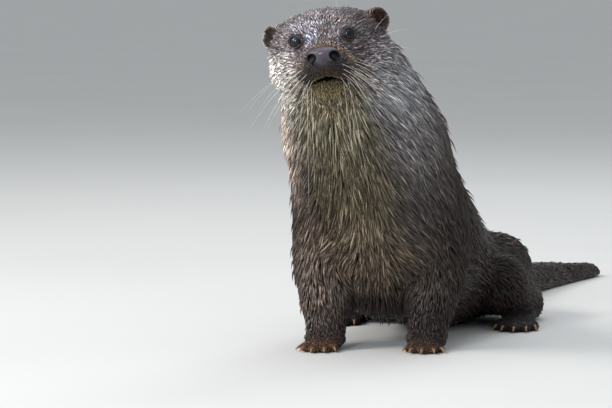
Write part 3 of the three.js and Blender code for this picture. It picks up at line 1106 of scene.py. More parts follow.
def spindles(paths: Array, sides: Array, tops: Array, widths: Array, thickness: float) -> tuple[Array, Array]:
    """Closed locks, pointed at both ends and three-sided between.

    Args:
        paths: Stations of each lock, from root to tip.
        sides: Directions across it at each station.
        tops: Directions out of the coat at each station.
        widths: Width at each station between the ends.
        thickness: Thickness as a share of the width.

    Returns:
        Points of each lock in turn, and its triangles.
    """
    count, stations = paths.shape[:2]
    half = widths[..., None] / 2
    middle = paths[:, 1:-1]
    left = middle - sides[:, 1:-1] * half
    right = middle + sides[:, 1:-1] * half
    ridge = middle + tops[:, 1:-1] * half * 2 * thickness
    rings = np.stack((left, ridge, right), 2).reshape(count, -1, 3)
    points = np.concatenate((paths[:, :1], rings, paths[:, -1:]), 1)
    return points.reshape(-1, 3), round_faces(stations - 2, 3, count)


def tube(path: Array, radii: Array, sides: int) -> Array:
    """Points of a round tube along a path, pointed at its far end.

    Args:
        path: Points along its middle.
        radii: Radius at each of them but the last.
        sides: Number of flats round it.

    Returns:
        The points.
    """
    slant = (0.02, 0.01, 0)
    tangents = unit(np.gradient(path, axis=0))
    across = unit(np.cross(tangents, np.add(UP, slant)))
    ring = circle(across[:-1], np.cross(tangents, across)[:-1], sides)
    points = (path[:-1, None] + ring * radii[:, None, None]).reshape(-1, 3)
    return np.concatenate((path[:1], points, path[-1:]))


def build_tubes(name: str, paths: Sequence[Array], radii: Array, sides: int) -> Piece:
    """Makes one object of tubes, which keep off the ground.

    Args:
        name: Its name.
        paths: Points along the middle of each tube.
        radii: Radius at each of them but the last.
        sides: Number of flats round a tube.

    Returns:
        The object, whose points hold their share of the way along as a number.
    """
    lowest = 0.1
    points = np.concatenate([tube(path, radii, sides) for path in paths])
    points[:, 2] = np.maximum(points[:, 2], lowest)
    piece = build_mesh(name, points, round_faces(len(radii), sides, len(paths)))
    share = np.linspace(0, 1, len(radii) + 1)
    along = np.repeat(share, (1 + sides, *[sides] * (len(radii) - 1), 1))
    add_values(piece, "along", np.tile(along, len(paths)))
    return piece


# ---------------- coat


@dataclass(frozen=True)
class Habit:
    """How the coat of one zone is made up of locks.

    Attributes:
        spacing: Distance between clumps of wet hair.
        strands: Locks in each clump, the leading one among them.
        stations: Points along a lock.
        lead: Width of a clump's leading lock at its widest.
        width: Width of its other locks.
        splay: Half the width of a clump at its root.
        slot: Name of a finish slot for the zone.
        halves: Whether left and right sides are pieces of their own.
    """

    spacing: float
    strands: int
    stations: int
    lead: float
    width: float
    splay: float
    slot: str
    halves: bool = True


HABITS = {
    Zone.FACE: Habit(1.3, 2, 3, 0.9, 0.5, 0.6, "coat_head"),
    Zone.CROWN: Habit(2.1, 3, 4, 1.3, 0.7, 1.2, "coat_head"),
    Zone.EARS: Habit(1.2, 1, 3, 0.7, 0.5, 0.3, "coat_head", False),
    Zone.NECK: Habit(2.85, 3, 4, 1.7, 0.9, 1.5, "coat_throat"),
    Zone.CHEST: Habit(3.0, 3, 4, 1.7, 0.9, 1.6, "coat_body"),
    Zone.WAIST: Habit(3.7, 3, 4, 2.4, 1.2, 1.9, "coat_body"),
    Zone.HIPS: Habit(3.1, 3, 4, 1.8, 1.0, 1.5, "coat_body"),
    Zone.FORELEGS: Habit(2.9, 3, 4, 1.7, 0.9, 1.4, "coat_legs"),
    Zone.THIGHS: Habit(3.0, 3, 4, 1.6, 0.9, 1.4, "coat_legs"),
    Zone.PAWS: Habit(1.7, 1, 3, 1.1, 0.9, 0.5, "coat_legs"),
    Zone.TAIL: Habit(3.6, 3, 4, 2.0, 1.1, 1.6, "coat_body", False),
}
COAT_SEED = 7
FULL_TURN = 6.3
# Where left meets right: a line that runs back aslant on the head, and a place between the legs.
HEAD_SLANT = 0.19
BETWEEN_LEGS = -8


@dataclass(frozen=True)
class Pelt:
    """Where the coat grows on the skin and how it lies.

    Attributes:
        skin: Distances to the skin.
        lies: How the coat lies beside each bone.
        muzzle: Place that the hair of the head runs away from.
        eyes: Centres of the eyeballs.
        bare: Shapes that no hair grows in.
    """

    skin: Lattice
    lies: tuple[Lie, ...]
    muzzle: Array
    eyes: Array
    bare: Shape
    sharpness: float = 4
    reach: float = 5
    fan: float = 0.55
    droop: float = 0.22
    eye_reach: float = 10
    eye_push: float = 1.2
    eye_edge: float = 4
    drift: float = 0.15
    swirl: float = 2
    ripple: float = 0.6
    waves: tuple[Triple, ...] = ((0.19, 0.1, 0.06), (0.05, 0.06, 0.033), (-0.27, 0.16, 0.11))
    lay_reach: float = 2.0

    def each(self, name: str) -> Array:
        """What every lie holds under a name."""
        return np.array([getattr(lie, name) for lie in self.lies])

    def weights(self, points: Array) -> tuple[Array, Array, Array]:
        """How much each lie counts at each point.

        Args:
            points: Where the coat is asked for.

        Returns:
            Shares that add up to 1, distances to the lies, and offsets from their bones.
        """
        starts = self.each("start")
        runs = self.each("end") - starts
        lengths = np.maximum((runs * runs).sum(-1), TINY)
        offset = points[:, None] - starts
        share = np.clip((offset * runs).sum(-1) / lengths, 0, 1)
        offset -= share[..., None] * runs
        distance = np.linalg.norm(offset, axis=-1) - self.each("radius")
        weight = (np.maximum(distance, 0) + self.reach) ** -self.sharpness
        return weight / weight.sum(-1, keepdims=True), distance, offset

    def headings(self, points: Array) -> Array:
        """Direction in which the coat lies, not yet laid on the skin.

        Args:
            points: Where it is asked for.

        Returns:
            The directions.
        """
        share, _, offset = self.weights(points)
        runs = unit(self.each("end") - self.each("start"))
        radial = self.each("radial").astype(float)
        sideways = np.where(np.arange(3) == 0, offset / self.each("radius")[None, :, None], 0)
        along = runs[None] + self.fan * sideways
        body = ((share * (1 - radial))[..., None] * along).sum(1)
        away = unit(points - self.muzzle)
        heading = body + (share @ radial)[:, None] * away - self.droop * UP
        for eye in self.eyes:
            apart = points - eye
            distance = np.linalg.norm(apart, axis=-1, keepdims=True)
            towards = np.minimum((heading * apart).sum(-1, keepdims=True) / distance, 0)
            near = np.exp(-((distance / self.eye_reach) ** self.eye_edge))
            heading = heading - self.eye_push * towards * apart / distance * near
        return heading

    def turns(self, points: Array) -> Array:
        """Slow swing of the coat to one side and the other, as an angle, which draws locks together."""
        first, second, third = (points @ np.array(wave) for wave in self.waves)
        return self.drift * (np.sin(first + self.swirl * np.sin(second)) + self.ripple * np.sin(third))

    def trace(self, roots: Array, lengths: Array, heights: Array, stray: Array) -> tuple[Array, Array, Array]:
        """Paths that follow the coat over the skin.

        Args:
            roots: Where they start.
            lengths: How long they are.
            heights: Height above the skin at each station.
            stray: Angle by which each one strays from its neighbours' way, at each station.

        Returns:
            The stations, and the directions across and out of the coat at each.
        """
        stations = heights.shape[1]
        points = [self.skin.settle(roots, heights[:, 0])]
        tops = [self.skin.slope(points[0], self.lay_reach)]
        heading = None
        for step in range(1, stations):
            here, out = points[-1], tops[-1]
            wish = self.headings(here)
            flat = unit(wish - out * (wish * out).sum(-1, keepdims=True))
            angle = (self.turns(here) + stray[:, step])[:, None]
            flat = flat * np.cos(angle) + np.cross(out, flat) * np.sin(angle)
            heading = flat if heading is None else unit(heading + flat)
            ahead = here + heading * (lengths / (stations - 1))[:, None]
            ahead = self.skin.settle(ahead, heights[:, step], rounds=1)
            points.append(ahead)
            tops.append(self.skin.slope(ahead, self.lay_reach))
        path, top = np.stack(points, 1), np.stack(tops, 1)
        run = unit(np.gradient(path, axis=1))
        return path, unit(np.cross(run, top)), top


@dataclass(frozen=True)
class Locks:
    """Locks of one piece: stations, directions across and out of the coat, widths between the ends, tones."""

    paths: Array
    sides: Array
    tops: Array
    widths: Array
    tones: Array


@dataclass
class Coat:
    """Locks of wet hair over the whole skin, as solid spindles in clumps that draw together at their tips.

    Runs of numbers go from root to tip. A span holds the least and the greatest of what is drawn at random,
    mostly as a share of the clump's own length, height or width.
    """

    pelt: Pelt
    rng: np.random.Generator = field(default_factory=lambda: np.random.default_rng(COAT_SEED))
    ground: float = 0.12
    root_level: float = 0.9
    patch: float = 0.003
    candidates: int = 460000
    face_share: float = 0.55
    pull: tuple[float, ...] = (1.0, 0.95, 0.75, 0.3)
    rise: tuple[float, ...] = (-0.4, 0.5, 0.85, 1.0)
    rise_curve: float = 1.5
    stray: float = 0.05
    wave: float = 0.14
    sways: float = 4
    raised: float = 0.07
    raised_by: float = 1.5
    lengths: Span = (0.75, 1.2)
    lifts: Span = (0.6, 1.2)
    sizes: Span = (0.4, 1.25)
    starts: Span = (0.0, 0.22)
    reaches: Span = (0.75, 1.0)
    layers: Span = (-0.45, 0.35)
    lead_layer: float = 0.25
    lead_across: float = 0.15
    jitter: float = 0.09
    sink: float = 0.6
    widths: Span = (0.75, 1.2)
    girth_at: Triple = (0, 0.4, 1)
    girth: Triple = (0.75, 1.0, 0.55)
    thickness: float = 0.55
    clump_tones: float = 0.7
    lock_tones: float = 0.6
    lead_tone: float = 0.35
    # painted glints: share of locks made much brighter as wet highlights, and by how much
    painted_glints: float = 0.05
    painted_glint_tone: float = 1.3
    tones: Span = (-2.4, 1.9)

    def scatter(self, points: Array, faces: Array) -> Array:
        """Picks places on the skin at random, more of them where its faces are small.

        Args:
            points: Points of the skin.
            faces: Its faces.

        Returns:
            The places.
        """
        triangles = points[np.concatenate((faces[:, [0, 1, 2]], faces[:, [0, 2, 3]]))]
        sides = triangles[:, 1:] - triangles[:, :1]
        chance = np.linalg.norm(np.cross(sides[:, 0], sides[:, 1]), axis=1) ** self.face_share
        picked = self.rng.choice(len(triangles), self.candidates, p=chance / chance.sum())
        a, b = self.rng.random((2, self.candidates, 1))
        fold = a + b > 1
        a, b = np.where(fold, 1 - a, a), np.where(fold, 1 - b, b)
        return triangles[picked, 0] + a * sides[picked, 0] + b * sides[picked, 1]

    @staticmethod
    def thin(points: Array, spacing: float) -> Array:
        """Numbers of the points that are left when each cube of space keeps one."""
        _, first = np.unique(np.floor(points / spacing).astype(np.int64), axis=0, return_index=True)
        return np.sort(first)

    def grow(self, points: Array, faces: Array, finish: Material) -> list[Piece]:
        """Builds every piece of the coat.

        Args:
            points: Points of the skin.
            faces: Its faces.
            finish: The coat's finish.

        Returns:
            The pieces.
        """
        roots = self.scatter(points, faces)
        hairy = self.pelt.bare.distance(roots.astype(np.float32)) > 0
        roots = roots[hairy & (roots[:, 2] > self.root_level)]
        owner = self.pelt.each("zone")[self._nearest(roots)]
        pieces = []
        for zone in Zone:
            mine = roots[owner == zone]
            mine = mine[self.thin(mine, HABITS[zone].spacing)]
            for name, chosen in self._halves(zone, mine).items():
                locks = self._locks(mine[chosen], HABITS[zone])
                pieces.append(self._piece(name, HABITS[zone], locks, finish))
        return pieces

    def _nearest(self, points: Array, portions: int = 40) -> Array:
        """Number of the lie that each point belongs to, found a portion of the points at a time."""
        parts = [part for part in np.array_split(points, portions) if len(part)]
        return np.concatenate([np.argmin(self.pelt.weights(part)[1], axis=1) for part in parts])

    def _halves(self, zone: Zone, roots: Array) -> dict[str, Array]:
        """Shares a zone's roots out among its pieces.

        Args:
            zone: The zone.
            roots: Its roots.

        Returns:
            Which roots each piece has, by its name.
        """
        name = f"coat_{zone.value}"
        if not HABITS[zone].halves:
            return {name: np.full(len(roots), True)}
        if zone in (Zone.FACE, Zone.CROWN):
            middle = self.pelt.muzzle[0] - HEAD_SLANT * (roots[:, 1] - self.pelt.muzzle[1])
        elif zone in (Zone.FORELEGS, Zone.THIGHS, Zone.PAWS):
            middle = BETWEEN_LEGS
        else:
            centres = (self.pelt.each("start") + self.pelt.each("end")) / 2
            middle = centres[self._nearest(roots), 0]
        left = roots[:, 0] > middle
        return {f"{name}_left": left, f"{name}_right": ~left}

    def _clumps(self, roots: Array, habit: Habit) -> tuple[Array, Array, Array, Array]:
        """Lays a clump of hair from each root.

        Args:
            roots: The roots.
            habit: How the zone's coat is made up.

        Returns:
            Stations of each clump, directions across and out of the coat at each, and its size.
        """
        rng, share = self.rng, self.pelt.weights(roots)[0]
        hair, depth = share @ self.pelt.each("hair"), share @ self.pelt.each("depth")
        count = len(roots)
        stops = np.linspace(0, 1, habit.stations)
        rise = np.interp(stops, np.linspace(0, 1, len(self.rise)), self.rise)
        lift = depth * rng.uniform(*self.lifts, count)
        lift = lift * np.where(rng.random(count) < self.raised, self.raised_by, 1.0)
        heights = np.where(rise < 0, rise, np.maximum(rise, 0) ** self.rise_curve * lift[:, None])
        stray = rng.normal(0, self.stray, (count, 1))
        stray = stray + self.wave * np.sin(rng.uniform(0, FULL_TURN, (count, 1)) + self.sways * stops)
        lengths = hair * rng.uniform(*self.lengths, count)
        return *self.pelt.trace(roots, lengths, heights, stray), np.clip(hair / hair.mean(), *self.sizes)

    def _locks(self, roots: Array, habit: Habit) -> Locks:
        """Makes up every clump of locks, a leading one and others that draw in to it.

        Args:
            roots: Roots of the clumps.
            habit: How the zone's coat is made up.

        Returns:
            The locks.
        """
        rng = self.rng
        path, side, top, sizes = self._clumps(roots, habit)
        stops = np.linspace(0, 1, habit.stations)
        pull = np.interp(stops, np.linspace(0, 1, len(self.pull)), self.pull)
        count, each = len(roots), habit.strands
        total = count * each
        clump = np.repeat(np.arange(count), each)
        lead = np.arange(total) % each == 0
        size = sizes[clump]
        across = np.where(lead, self.lead_across, 1.0) * rng.uniform(-1, 1, total) * habit.splay
        above = np.where(lead, self.lead_layer, rng.uniform(*self.layers, total))
        start = np.where(lead, 0.0, rng.uniform(*self.starts, total))
        reach = np.where(lead, 1.0, rng.uniform(*self.reaches, total))
        steps = (start[:, None] + (reach - start)[:, None] * stops) * (habit.stations - 1)
        cell = np.minimum(steps.astype(int), habit.stations - 2)
        rest = (steps - cell)[..., None]
        row = clump[:, None]
        along, sides, tops = (v[row, cell] * (1 - rest) + v[row, cell + 1] * rest for v in (path, side, top))
        sides, tops = unit(sides), unit(tops)
        shift = (across * size)[:, None] * pull + rng.normal(0, self.jitter, (total, habit.stations))
        along = along + sides * shift[..., None] + tops * (above * size)[:, None, None] * pull[None, :, None]
        along[:, 0] -= tops[:, 0] * self.sink
        tones = rng.normal(0, self.clump_tones, count)[clump] + rng.normal(0, self.lock_tones, total)
        tones = tones - np.where(lead, 0, self.lead_tone)
        # painted glints: a few locks brighter, as highlights on wet hair
        tones = tones + np.where(rng.random(total) < self.painted_glints, self.painted_glint_tone, 0)
        wide = np.where(lead, habit.lead, habit.width) * np.sqrt(size) * rng.uniform(*self.widths, total)
        widths = wide[:, None] * np.interp(stops[1:-1], self.girth_at, self.girth)
        return Locks(along, sides, tops, widths, np.clip(tones, *self.tones))

    def _spots(self, roots: Array, margin: float = 0.01, share: float = 0.975) -> Array:
        """Lays the roots out on the map for baking, round their bone and along the body.

        Args:
            roots: The roots.
            margin: Where the map starts.
            share: How much of it they take.

        Returns:
            Each root's place on the map.
        """
        apart = 40.0
        nearest = self._nearest(roots)
        starts = self.pelt.each("start")
        runs = self.pelt.each("end") - starts
        axes = unit(np.where(np.linalg.norm(runs, axis=-1, keepdims=True) > TINY, runs, [[0, 1, 0]]))
        axis, offset = axes[nearest], roots - starts[nearest]
        second = unit(np.cross(axis, (1.0, 0.0, 0.05)))
        third = np.cross(second, axis)
        angle = np.arctan2((offset * second).sum(-1), (offset * third).sum(-1))
        spots = np.stack((angle, nearest * apart + (offset * axis).sum(-1)), -1)
        low, high = spots.min(0), spots.max(0)
        return margin + share * (spots - low) / np.maximum(high - low, TINY)

    def _piece(self, name: str, habit: Habit, locks: Locks, finish: Material) -> Piece:
        """Builds one piece of the coat.

        Args:
            name: Its name.
            habit: How the zone's coat is made up.
            locks: Its locks.
            finish: Its finish.

        Returns:
            The piece.
        """
        points, faces = spindles(locks.paths, locks.sides, locks.tops, locks.widths, self.thickness)
        points[:, 2] = np.maximum(points[:, 2], self.ground)
        piece = build_mesh(name, points, faces)
        count, rings = len(locks.paths), habit.stations - 2
        each = len(points) // count
        along = np.repeat(np.arange(habit.stations) / (rings + 1), (1, *[3] * rings, 1))
        # ridge is 1 on a lock's ridge and 0 at its edges; the finish paints shade on the edges from it
        ridge = np.array((0.5, *(0.0, 1.0, 0.0) * rings, 0.8))
        beside = np.array((0.5, *(0.0, 0.5, 1.0) * rings, 0.5))
        add_values(piece, "along", np.tile(along, count))
        add_values(piece, "tone", np.repeat(locks.tones, each))
        add_values(piece, "ridge", np.tile(ridge, count))
        spots = np.repeat(self._spots(locks.paths[:, 0]), each, axis=0)
        spots += self.patch * np.tile(np.stack((beside, along), -1), (count, 1))
        add_bake_map(piece, spots)
        return mount(piece, habit.slot, finish)


# ---------------- finishes


def tone(code: str) -> Colour:
    """Light's own values of a colour given as a web code."""
    values = [int(code[i : i + 2], 16) / 255 for i in (1, 3, 5)]
    return tuple(v / 12.92 if v <= 0.04045 else ((v + 0.055) / 1.055) ** 2.4 for v in values)


@dataclass(frozen=True)
class Wire:
    """What a node gives out, ready for Python's arithmetic."""

    bench: Bench
    socket: bpy.types.NodeSocket

    def __add__(self, other: Value) -> Wire:
        """Sum."""
        return self.bench.sum("ADD", self, other)

    def __sub__(self, other: Value) -> Wire:
        """Difference."""
        return self.bench.sum("SUBTRACT", self, other)

    def __rsub__(self, other: Value) -> Wire:
        """Difference the other way round."""
        return self.bench.sum("SUBTRACT", other, self)

    def __mul__(self, other: Value) -> Wire:
        """Product."""
        return self.bench.sum("MULTIPLY", self, other)

    __radd__ = __add__
    __rmul__ = __mul__


Value = Wire | float


class Bench:
    """One material and the nodes laid out for it."""

    def __init__(self, name: str) -> None:
        """Starts an empty material.

        Args:
            name: Its name.
        """
        self.material = bpy.data.materials.new(name)
        self.material.use_nodes = True
        self.tree = self.material.node_tree
        self.tree.nodes.clear()

    def node(self, kind: str, settings: dict[str, object], inputs: dict[int | str, object]) -> bpy.types.Node:
        """Adds a node.

        Args:
            kind: The node's type.
            settings: Its settings, set first.
            inputs: Values or wires of its sockets, by name or number.

        Returns:
            The node.
        """
        made = self.tree.nodes.new(kind)
        for key, value in settings.items():
            setattr(made, key, value)
        for key, value in inputs.items():
            if isinstance(value, Wire):
                self.tree.links.new(value.socket, made.inputs[key])
            else:
                made.inputs[key].default_value = value
        return made

    def wire(self, kind: str, settings: dict, inputs: dict, output: int | str = 0) -> Wire:
        """Adds a node and takes one of its outputs."""
        return Wire(self, self.node(kind, settings, inputs).outputs[output])

    def sum(self, operation: str, *values: Value) -> Wire:
        """Arithmetic on numbers."""
        return self.wire("ShaderNodeMath", {"operation": operation}, dict(enumerate(values)))

    def vector(self, operation: str, *values: object) -> Wire:
        """Arithmetic on vectors and colours, to a number for a length or a dot product."""
        output = "Value" if operation in ("LENGTH", "DOT_PRODUCT") else "Vector"
        return self.wire("ShaderNodeVectorMath", {"operation": operation}, dict(enumerate(values)), output)

    def scaled(self, value: Wire, factor: Value) -> Wire:
        """A vector or colour times a number."""
        return self.wire("ShaderNodeVectorMath", {"operation": "SCALE"}, {0: value, "Scale": factor})

    def mix(self, factor: Value, first: Wire | Colour, second: Wire | Colour) -> Wire:
        """Colour between two others, which is the second where the factor is 1."""
        first, second = (value if isinstance(value, Wire) else (*value, 1.0) for value in (first, second))
        return self.wire("ShaderNodeMix", {"data_type": "RGBA"}, {0: factor, 6: first, 7: second}, 2)

    def step(self, value: Wire, low: float, high: float) -> Wire:
        """Smooth step from 0 at `low` to 1 at `high`, which may be the smaller."""
        inputs = {"Value": value, "From Min": low, "From Max": high}
        return self.wire("ShaderNodeMapRange", {"interpolation_type": "SMOOTHSTEP"}, inputs)

    def noise(self, place: Wire, scale: float, detail: float = 2.0, output: str = "Fac") -> Wire:
        """Even noise over a place."""
        inputs = {"Vector": place, "Scale": scale, "Detail": detail}
        return self.wire("ShaderNodeTexNoise", {}, inputs, output)

    def number(self, name: str) -> Wire:
        """Number that each point of a piece holds."""
        return self.wire("ShaderNodeAttribute", {"attribute_name": name}, {}, "Fac")

    def place(self) -> Wire:
        """Place on the animal, in its own frame."""
        shared = self.wire("ShaderNodeTexCoord", {}, {}, "Object")
        return self.vector("SUBTRACT", self.scaled(shared, 1 / MM), tuple(ORIGIN))

    def bump(self, height: Wire, distance: float, strength: float = 1.0) -> Wire:
        """Normal roughened by a height."""
        inputs = {"Height": height, "Distance": distance, "Strength": strength}
        return self.wire("ShaderNodeBump", {}, inputs)

    def finish(self, inputs: dict[int | str, object]) -> Material:
        """Closes the material with its surface.

        Args:
            inputs: What the surface's sockets hold.

        Returns:
            The material.
        """
        surface = self.wire("ShaderNodeBsdfPrincipled", {}, inputs)
        self.node("ShaderNodeOutputMaterial", {}, {"Surface": surface})
        return self.material


@dataclass(frozen=True)
class Patch:
    """A soft-edged area of one colour: its middle, its radii and how far its edge fades in."""

    at: Triple
    radii: Triple
    colour: str
    strength: float = 1.0
    core: float = 0.35

    def moved(self, at: Array) -> Patch:
        """The same patch somewhere else."""
        return replace(self, at=tuple(at))


@dataclass(frozen=True)
class Markings:
    """Colours of the coat over the animal, shared by the skin and the locks; some patches are painted wet
    sheen, highlights, light and shade.
    """

    base: str = "#382d29"
    body: tuple[Patch, ...] = (
        Patch((-10, 10, 200), (90, 110, 90), "#62564f", 0.9),
        Patch((-60, -14, 78), (40, 44, 90), "#7c6a5e", 0.9),
        Patch((38, -6, 84), (30, 42, 62), "#62564d", 0.75, 0.3),
        Patch((-8, -20, 94), (60, 60, 66), "#7f6d5b", 0.95),
        # painted glints: lilac-grey wet glints over the dark brown of the chest's left side
        Patch((42, -26, 165), (48, 60, 96), "#726968", 0.7, 0.1),
        # silvery tips on the neck's left side, paler still with painted wet sheen
        Patch((38, -54, 208), (46, 60, 80), "#a09a9a", 0.85, 0.1),
        Patch((-16, -62, 150), (70, 62, 94), "#80735b", 0.95, 0.1),
        Patch((-28, -90, 224), (66, 62, 72), "#978d73", 1.0, 0.2),
        # silvery tips high on the neck's left side, with painted wet sheen
        Patch((26, -64, 246), (42, 58, 46), "#b9b8bb", 0.85),
        # pale throat edge on the right side, painted near white as a wet highlight where the key light falls
        Patch((-84, -74, 240), (38, 60, 52), "#ddd6cc", 0.95),
        Patch((-90, -34, 186), (44, 62, 78), "#c2a998", 0.9, 0.2),
        # painted light: brightens the right side of the neck below the head, where the head's shadow falls
        Patch((-80, -52, 198), (34, 50, 38), "#ecd9c9", 0.85, 0.2),
        Patch((-53, -42, 4), (30, 26, 13), "#8f6245", 0.8, 0.3),
        Patch((40, -24, 4), (30, 26, 13), "#7d5740", 0.8, 0.3),
    )
    head: tuple[Patch, ...] = (
        # greyish-brown head fur, its lilac grey a painted wet sheen
        Patch((0, -12, 8), (66, 66, 44), "#978c8f", 1.0, 0.4),
        # painted shade: the crown's left side, turned away from the key light, darker
        Patch((37, 0, 18), (33, 42, 32), "#483d41", 0.95),
        # painted sheen: bluish-white wet sheen on the right of the forehead
        Patch((-16, -20, 20), (28, 30, 20), "#b5b1ba", 0.6),
        Patch((-22, 4, 24), (34, 36, 24), "#625859", 0.88, 0.2),
        Patch((-28, -28, -8), (15, 15, 13), "#cfc4c0", 0.7),
        # painted sheen: bluish wet sheen between the right eye and the nose
        Patch((-9, -36, 8), (12, 15, 13), "#c9cde0", 0.85),
        # pale cheeks: painted near white on the right side, lit by the key light
        Patch((-40, 0, -16), (30, 44, 30), "#f6efe8", 1.0),
        # and greyer, as painted shade, on the left side away from the key light
        Patch((40, 4, -14), (30, 44, 30), "#b4adb0", 0.9),
        Patch((0, -54, 3), (15, 12, 5), "#ab8a74", 0.75),
        Patch((17, -50, -7), (8, 9, 13), "#a68872", 0.7),
        Patch((19, -22, 21), (13, 13, 4.6), "#c39a82", 0.85, 0.3),
        Patch((-18, -44, -14), (14, 18, 10), "#bda896", 0.85),
        Patch((18, -44, -14), (14, 18, 10), "#a3917f", 0.85),
        Patch((0, -58, -18), (13, 16, 8.5), "#432b15", 0.97),
        Patch((0, -44, -36), (24, 24, 12), "#98875a", 0.95),
    )
    lips_and_painted_shade: tuple[Patch, ...] = (
        Patch((0, -56, -26.8), (16, 15, 5.6), "#957b42", 0.92, 0.4),
        # painted shade: near black where the nostrils open
        Patch((-11.5, -60, -7), (5, 8, 5.5), "#0b090a", 1.0, 0.6),
        Patch((11.5, -60, -7), (5, 8, 5.5), "#0b090a", 1.0, 0.6),
        # painted shade in the slit between the lips
        Patch((0, -48, -26), (11, 12, 3.2), "#150f0c", 1.0, 0.6),
    )
    eye_ring: Patch = Patch((0, 0, 0), (7.8, 9.2, 8.0), "#2e2626", 0.8, 0.6)
    # rust rim on the left ear; pale rim on the right ear, lit by the key light, partly a painted highlight
    ear_rims: tuple[Patch, Patch] = (
        Patch((0, 0, 0), (13, 11, 14), "#8c7062", 0.85, 0.75),
        Patch((0, 0, 0), (13, 11, 14), "#d0c0b2", 0.85, 0.75),
    )
    # dark inside of the ears: own dark skin, deepened with painted shade in the hollow
    ear_bowl: Patch = Patch((0, -6.0, -0.5), (10.2, 9.5, 10.8), "#2a1c16", 1.0, 0.72)
    wander: float = 14.0
    wander_scale: float = 0.05

    def tips(self, bench: Bench, place: Wire) -> Wire:
        """Colour of the hair's tips.

        Args:
            bench: The material's bench.
            place: Place on the animal.

        Returns:
            The colour.
        """
        cloud = bench.noise(place, self.wander_scale, 2.0, "Color")
        drift = bench.vector("SUBTRACT", cloud, (0.5, 0.5, 0.5))
        wandering = bench.vector("ADD", place, bench.scaled(drift, self.wander))
        colour = self.cover(bench, tone(self.base), wandering, self.body)
        colour = self.cover(bench, colour, self.in_head(bench, wandering), self.head)
        return self.cover(bench, colour, self.in_head(bench, place), (*self._details(), *self.lips_and_painted_shade))

    def _details(self) -> list[Patch]:
        """Dark rings round the eyes, the ears' rims, pale with a painted highlight on the right ear, and
        their dark insides, deepened with painted shade.

        Returns:
            The patches, in the head's frame.
        """
        head = Head()
        made = [self.eye_ring.moved(head.eye(name).origin) for name in SIDES]
        for side, rim in zip(SIDES.values(), self.ear_rims):
            ear = head.ear_frame(side)
            made += [rim.moved(ear.origin), self.ear_bowl.moved(ear.outward(self.ear_bowl.at))]
        return made

    @staticmethod
    def in_head(bench: Bench, place: Wire) -> Wire:
        """A place on the animal as one in the head's frame.

        Args:
            bench: The material's bench.
            place: The place.

        Returns:
            The same place.
        """
        head = Head().place()
        offset = bench.vector("SUBTRACT", place, tuple(head.origin))
        parts = [bench.vector("DOT_PRODUCT", offset, tuple(axis)) for axis in head.axes.T]
        return bench.wire("ShaderNodeCombineXYZ", {}, dict(enumerate(parts)))

    @staticmethod
    def cover(bench: Bench, colour: Wire | Colour, place: Wire, patches: Sequence[Patch]) -> Wire:
        """Lays patches over a colour.

        Args:
            bench: The material's bench.
            colour: The colour.
            place: The place that the patches are measured from.
            patches: The patches, the lowest first.

        Returns:
            The colour with the patches over it.
        """
        for patch in patches:
            offset = bench.vector("SUBTRACT", place, patch.at)
            scaled = bench.vector("DIVIDE", offset, patch.radii)
            size = bench.vector("LENGTH", scaled)
            mask = bench.step(size, 1.0, patch.core) * patch.strength
            colour = bench.mix(mask, colour, tone(patch.colour))
        return colour


@dataclass(frozen=True)
class WetHair:
    """Wet locks: dark where they leave the skin, paler to the tip, each of its own shade, with painted shade
    on each lock's edges and painted glints on a few.

    Of two numbers for streaks, clouds or roughness, one is even and the other goes with the noise.
    """

    markings: Markings = Markings()
    root: str = "#2b221c"
    rust: str = "#8f6046"
    rust_share: float = 0.5
    gain: float = 1.14
    contrast: float = 1.6
    head_contrast: float = 0.7
    speckle: float = 2.4
    # painted shade: brightness of a lock's edges as a share of its ridge's, so each lock looks rounded
    edge: float = 0.26
    head_reach: Span = (75.0, 45.0)
    root_reach: Span = (-0.15, 0.6)
    streaks: Span = (0.75, 0.5)
    clouds: Span = (0.8, 0.4)
    roughness: Span = (0.3, 0.18)
    grain: float = 0.0003

    def make(self) -> Material:
        """Builds the finish.

        Returns:
            The material.
        """
        bench = Bench("wet_hair")
        place = bench.place()
        tips = self.markings.tips(bench, place)
        along, shade, ridge = (bench.number(name) for name in ("along", "tone", "ridge"))
        streak = bench.noise(place, 0.9, 3.0)
        cloud = bench.noise(place, 0.16, 2.0)
        size = bench.vector("LENGTH", self.markings.in_head(bench, place))
        near_head = bench.step(size, *self.head_reach)
        speckle = 1 + near_head * self.speckle * (bench.noise(place, 0.3, 4.0) - 0.5)
        own = bench.sum("POWER", self.contrast, shade * (1 + self.head_contrast * near_head))
        light = self.gain * own * (self.streaks[0] + self.streaks[1] * streak)
        light = light * (self.clouds[0] + self.clouds[1] * cloud)
        rusty = bench.step(bench.noise(place, 0.11, 3.0), 0.5, 0.75) * self.rust_share * near_head
        lit = bench.scaled(bench.mix(rusty, tips, tone(self.rust)), light * speckle)
        # dark roots, and painted shade on each lock's edges, which are darker than its ridge
        share = bench.step(along, *self.root_reach) * (self.edge + (1 - self.edge) * ridge)
        normal = bench.bump(bench.noise(place, 2.2, 2.0), self.grain, 0.5)
        return bench.finish(
            {
                "Base Color": bench.mix(share, tone(self.root), lit),
                "Roughness": self.roughness[0] + self.roughness[1] * streak,
                "Normal": normal,
                "Specular IOR Level": 0.5,
            }
        )


@dataclass(frozen=True)
class Hide:
    """Skin and underfur below the locks, with the same markings, darker: dark underfur, and painted shade in
    the gaps between locks.
    """

    markings: Markings = Markings()
    # painted shade: the hide's share of the tips' brightness, dark as the gaps between locks
    share: float = 0.2

    def make(self) -> Material:
        """Builds the finish.

        Returns:
            The material.
        """
        bench = Bench("hide")
        place = bench.place()
        fine = bench.noise(place, 1.1, 4.0)
        tips = self.markings.tips(bench, place)
        colour = bench.scaled(tips, self.share * (0.6 + 0.8 * fine))
        normal = bench.bump(fine, 0.0012, 0.8)
        return bench.finish({"Base Color": colour, "Roughness": 0.55 + 0.2 * fine, "Normal": normal})


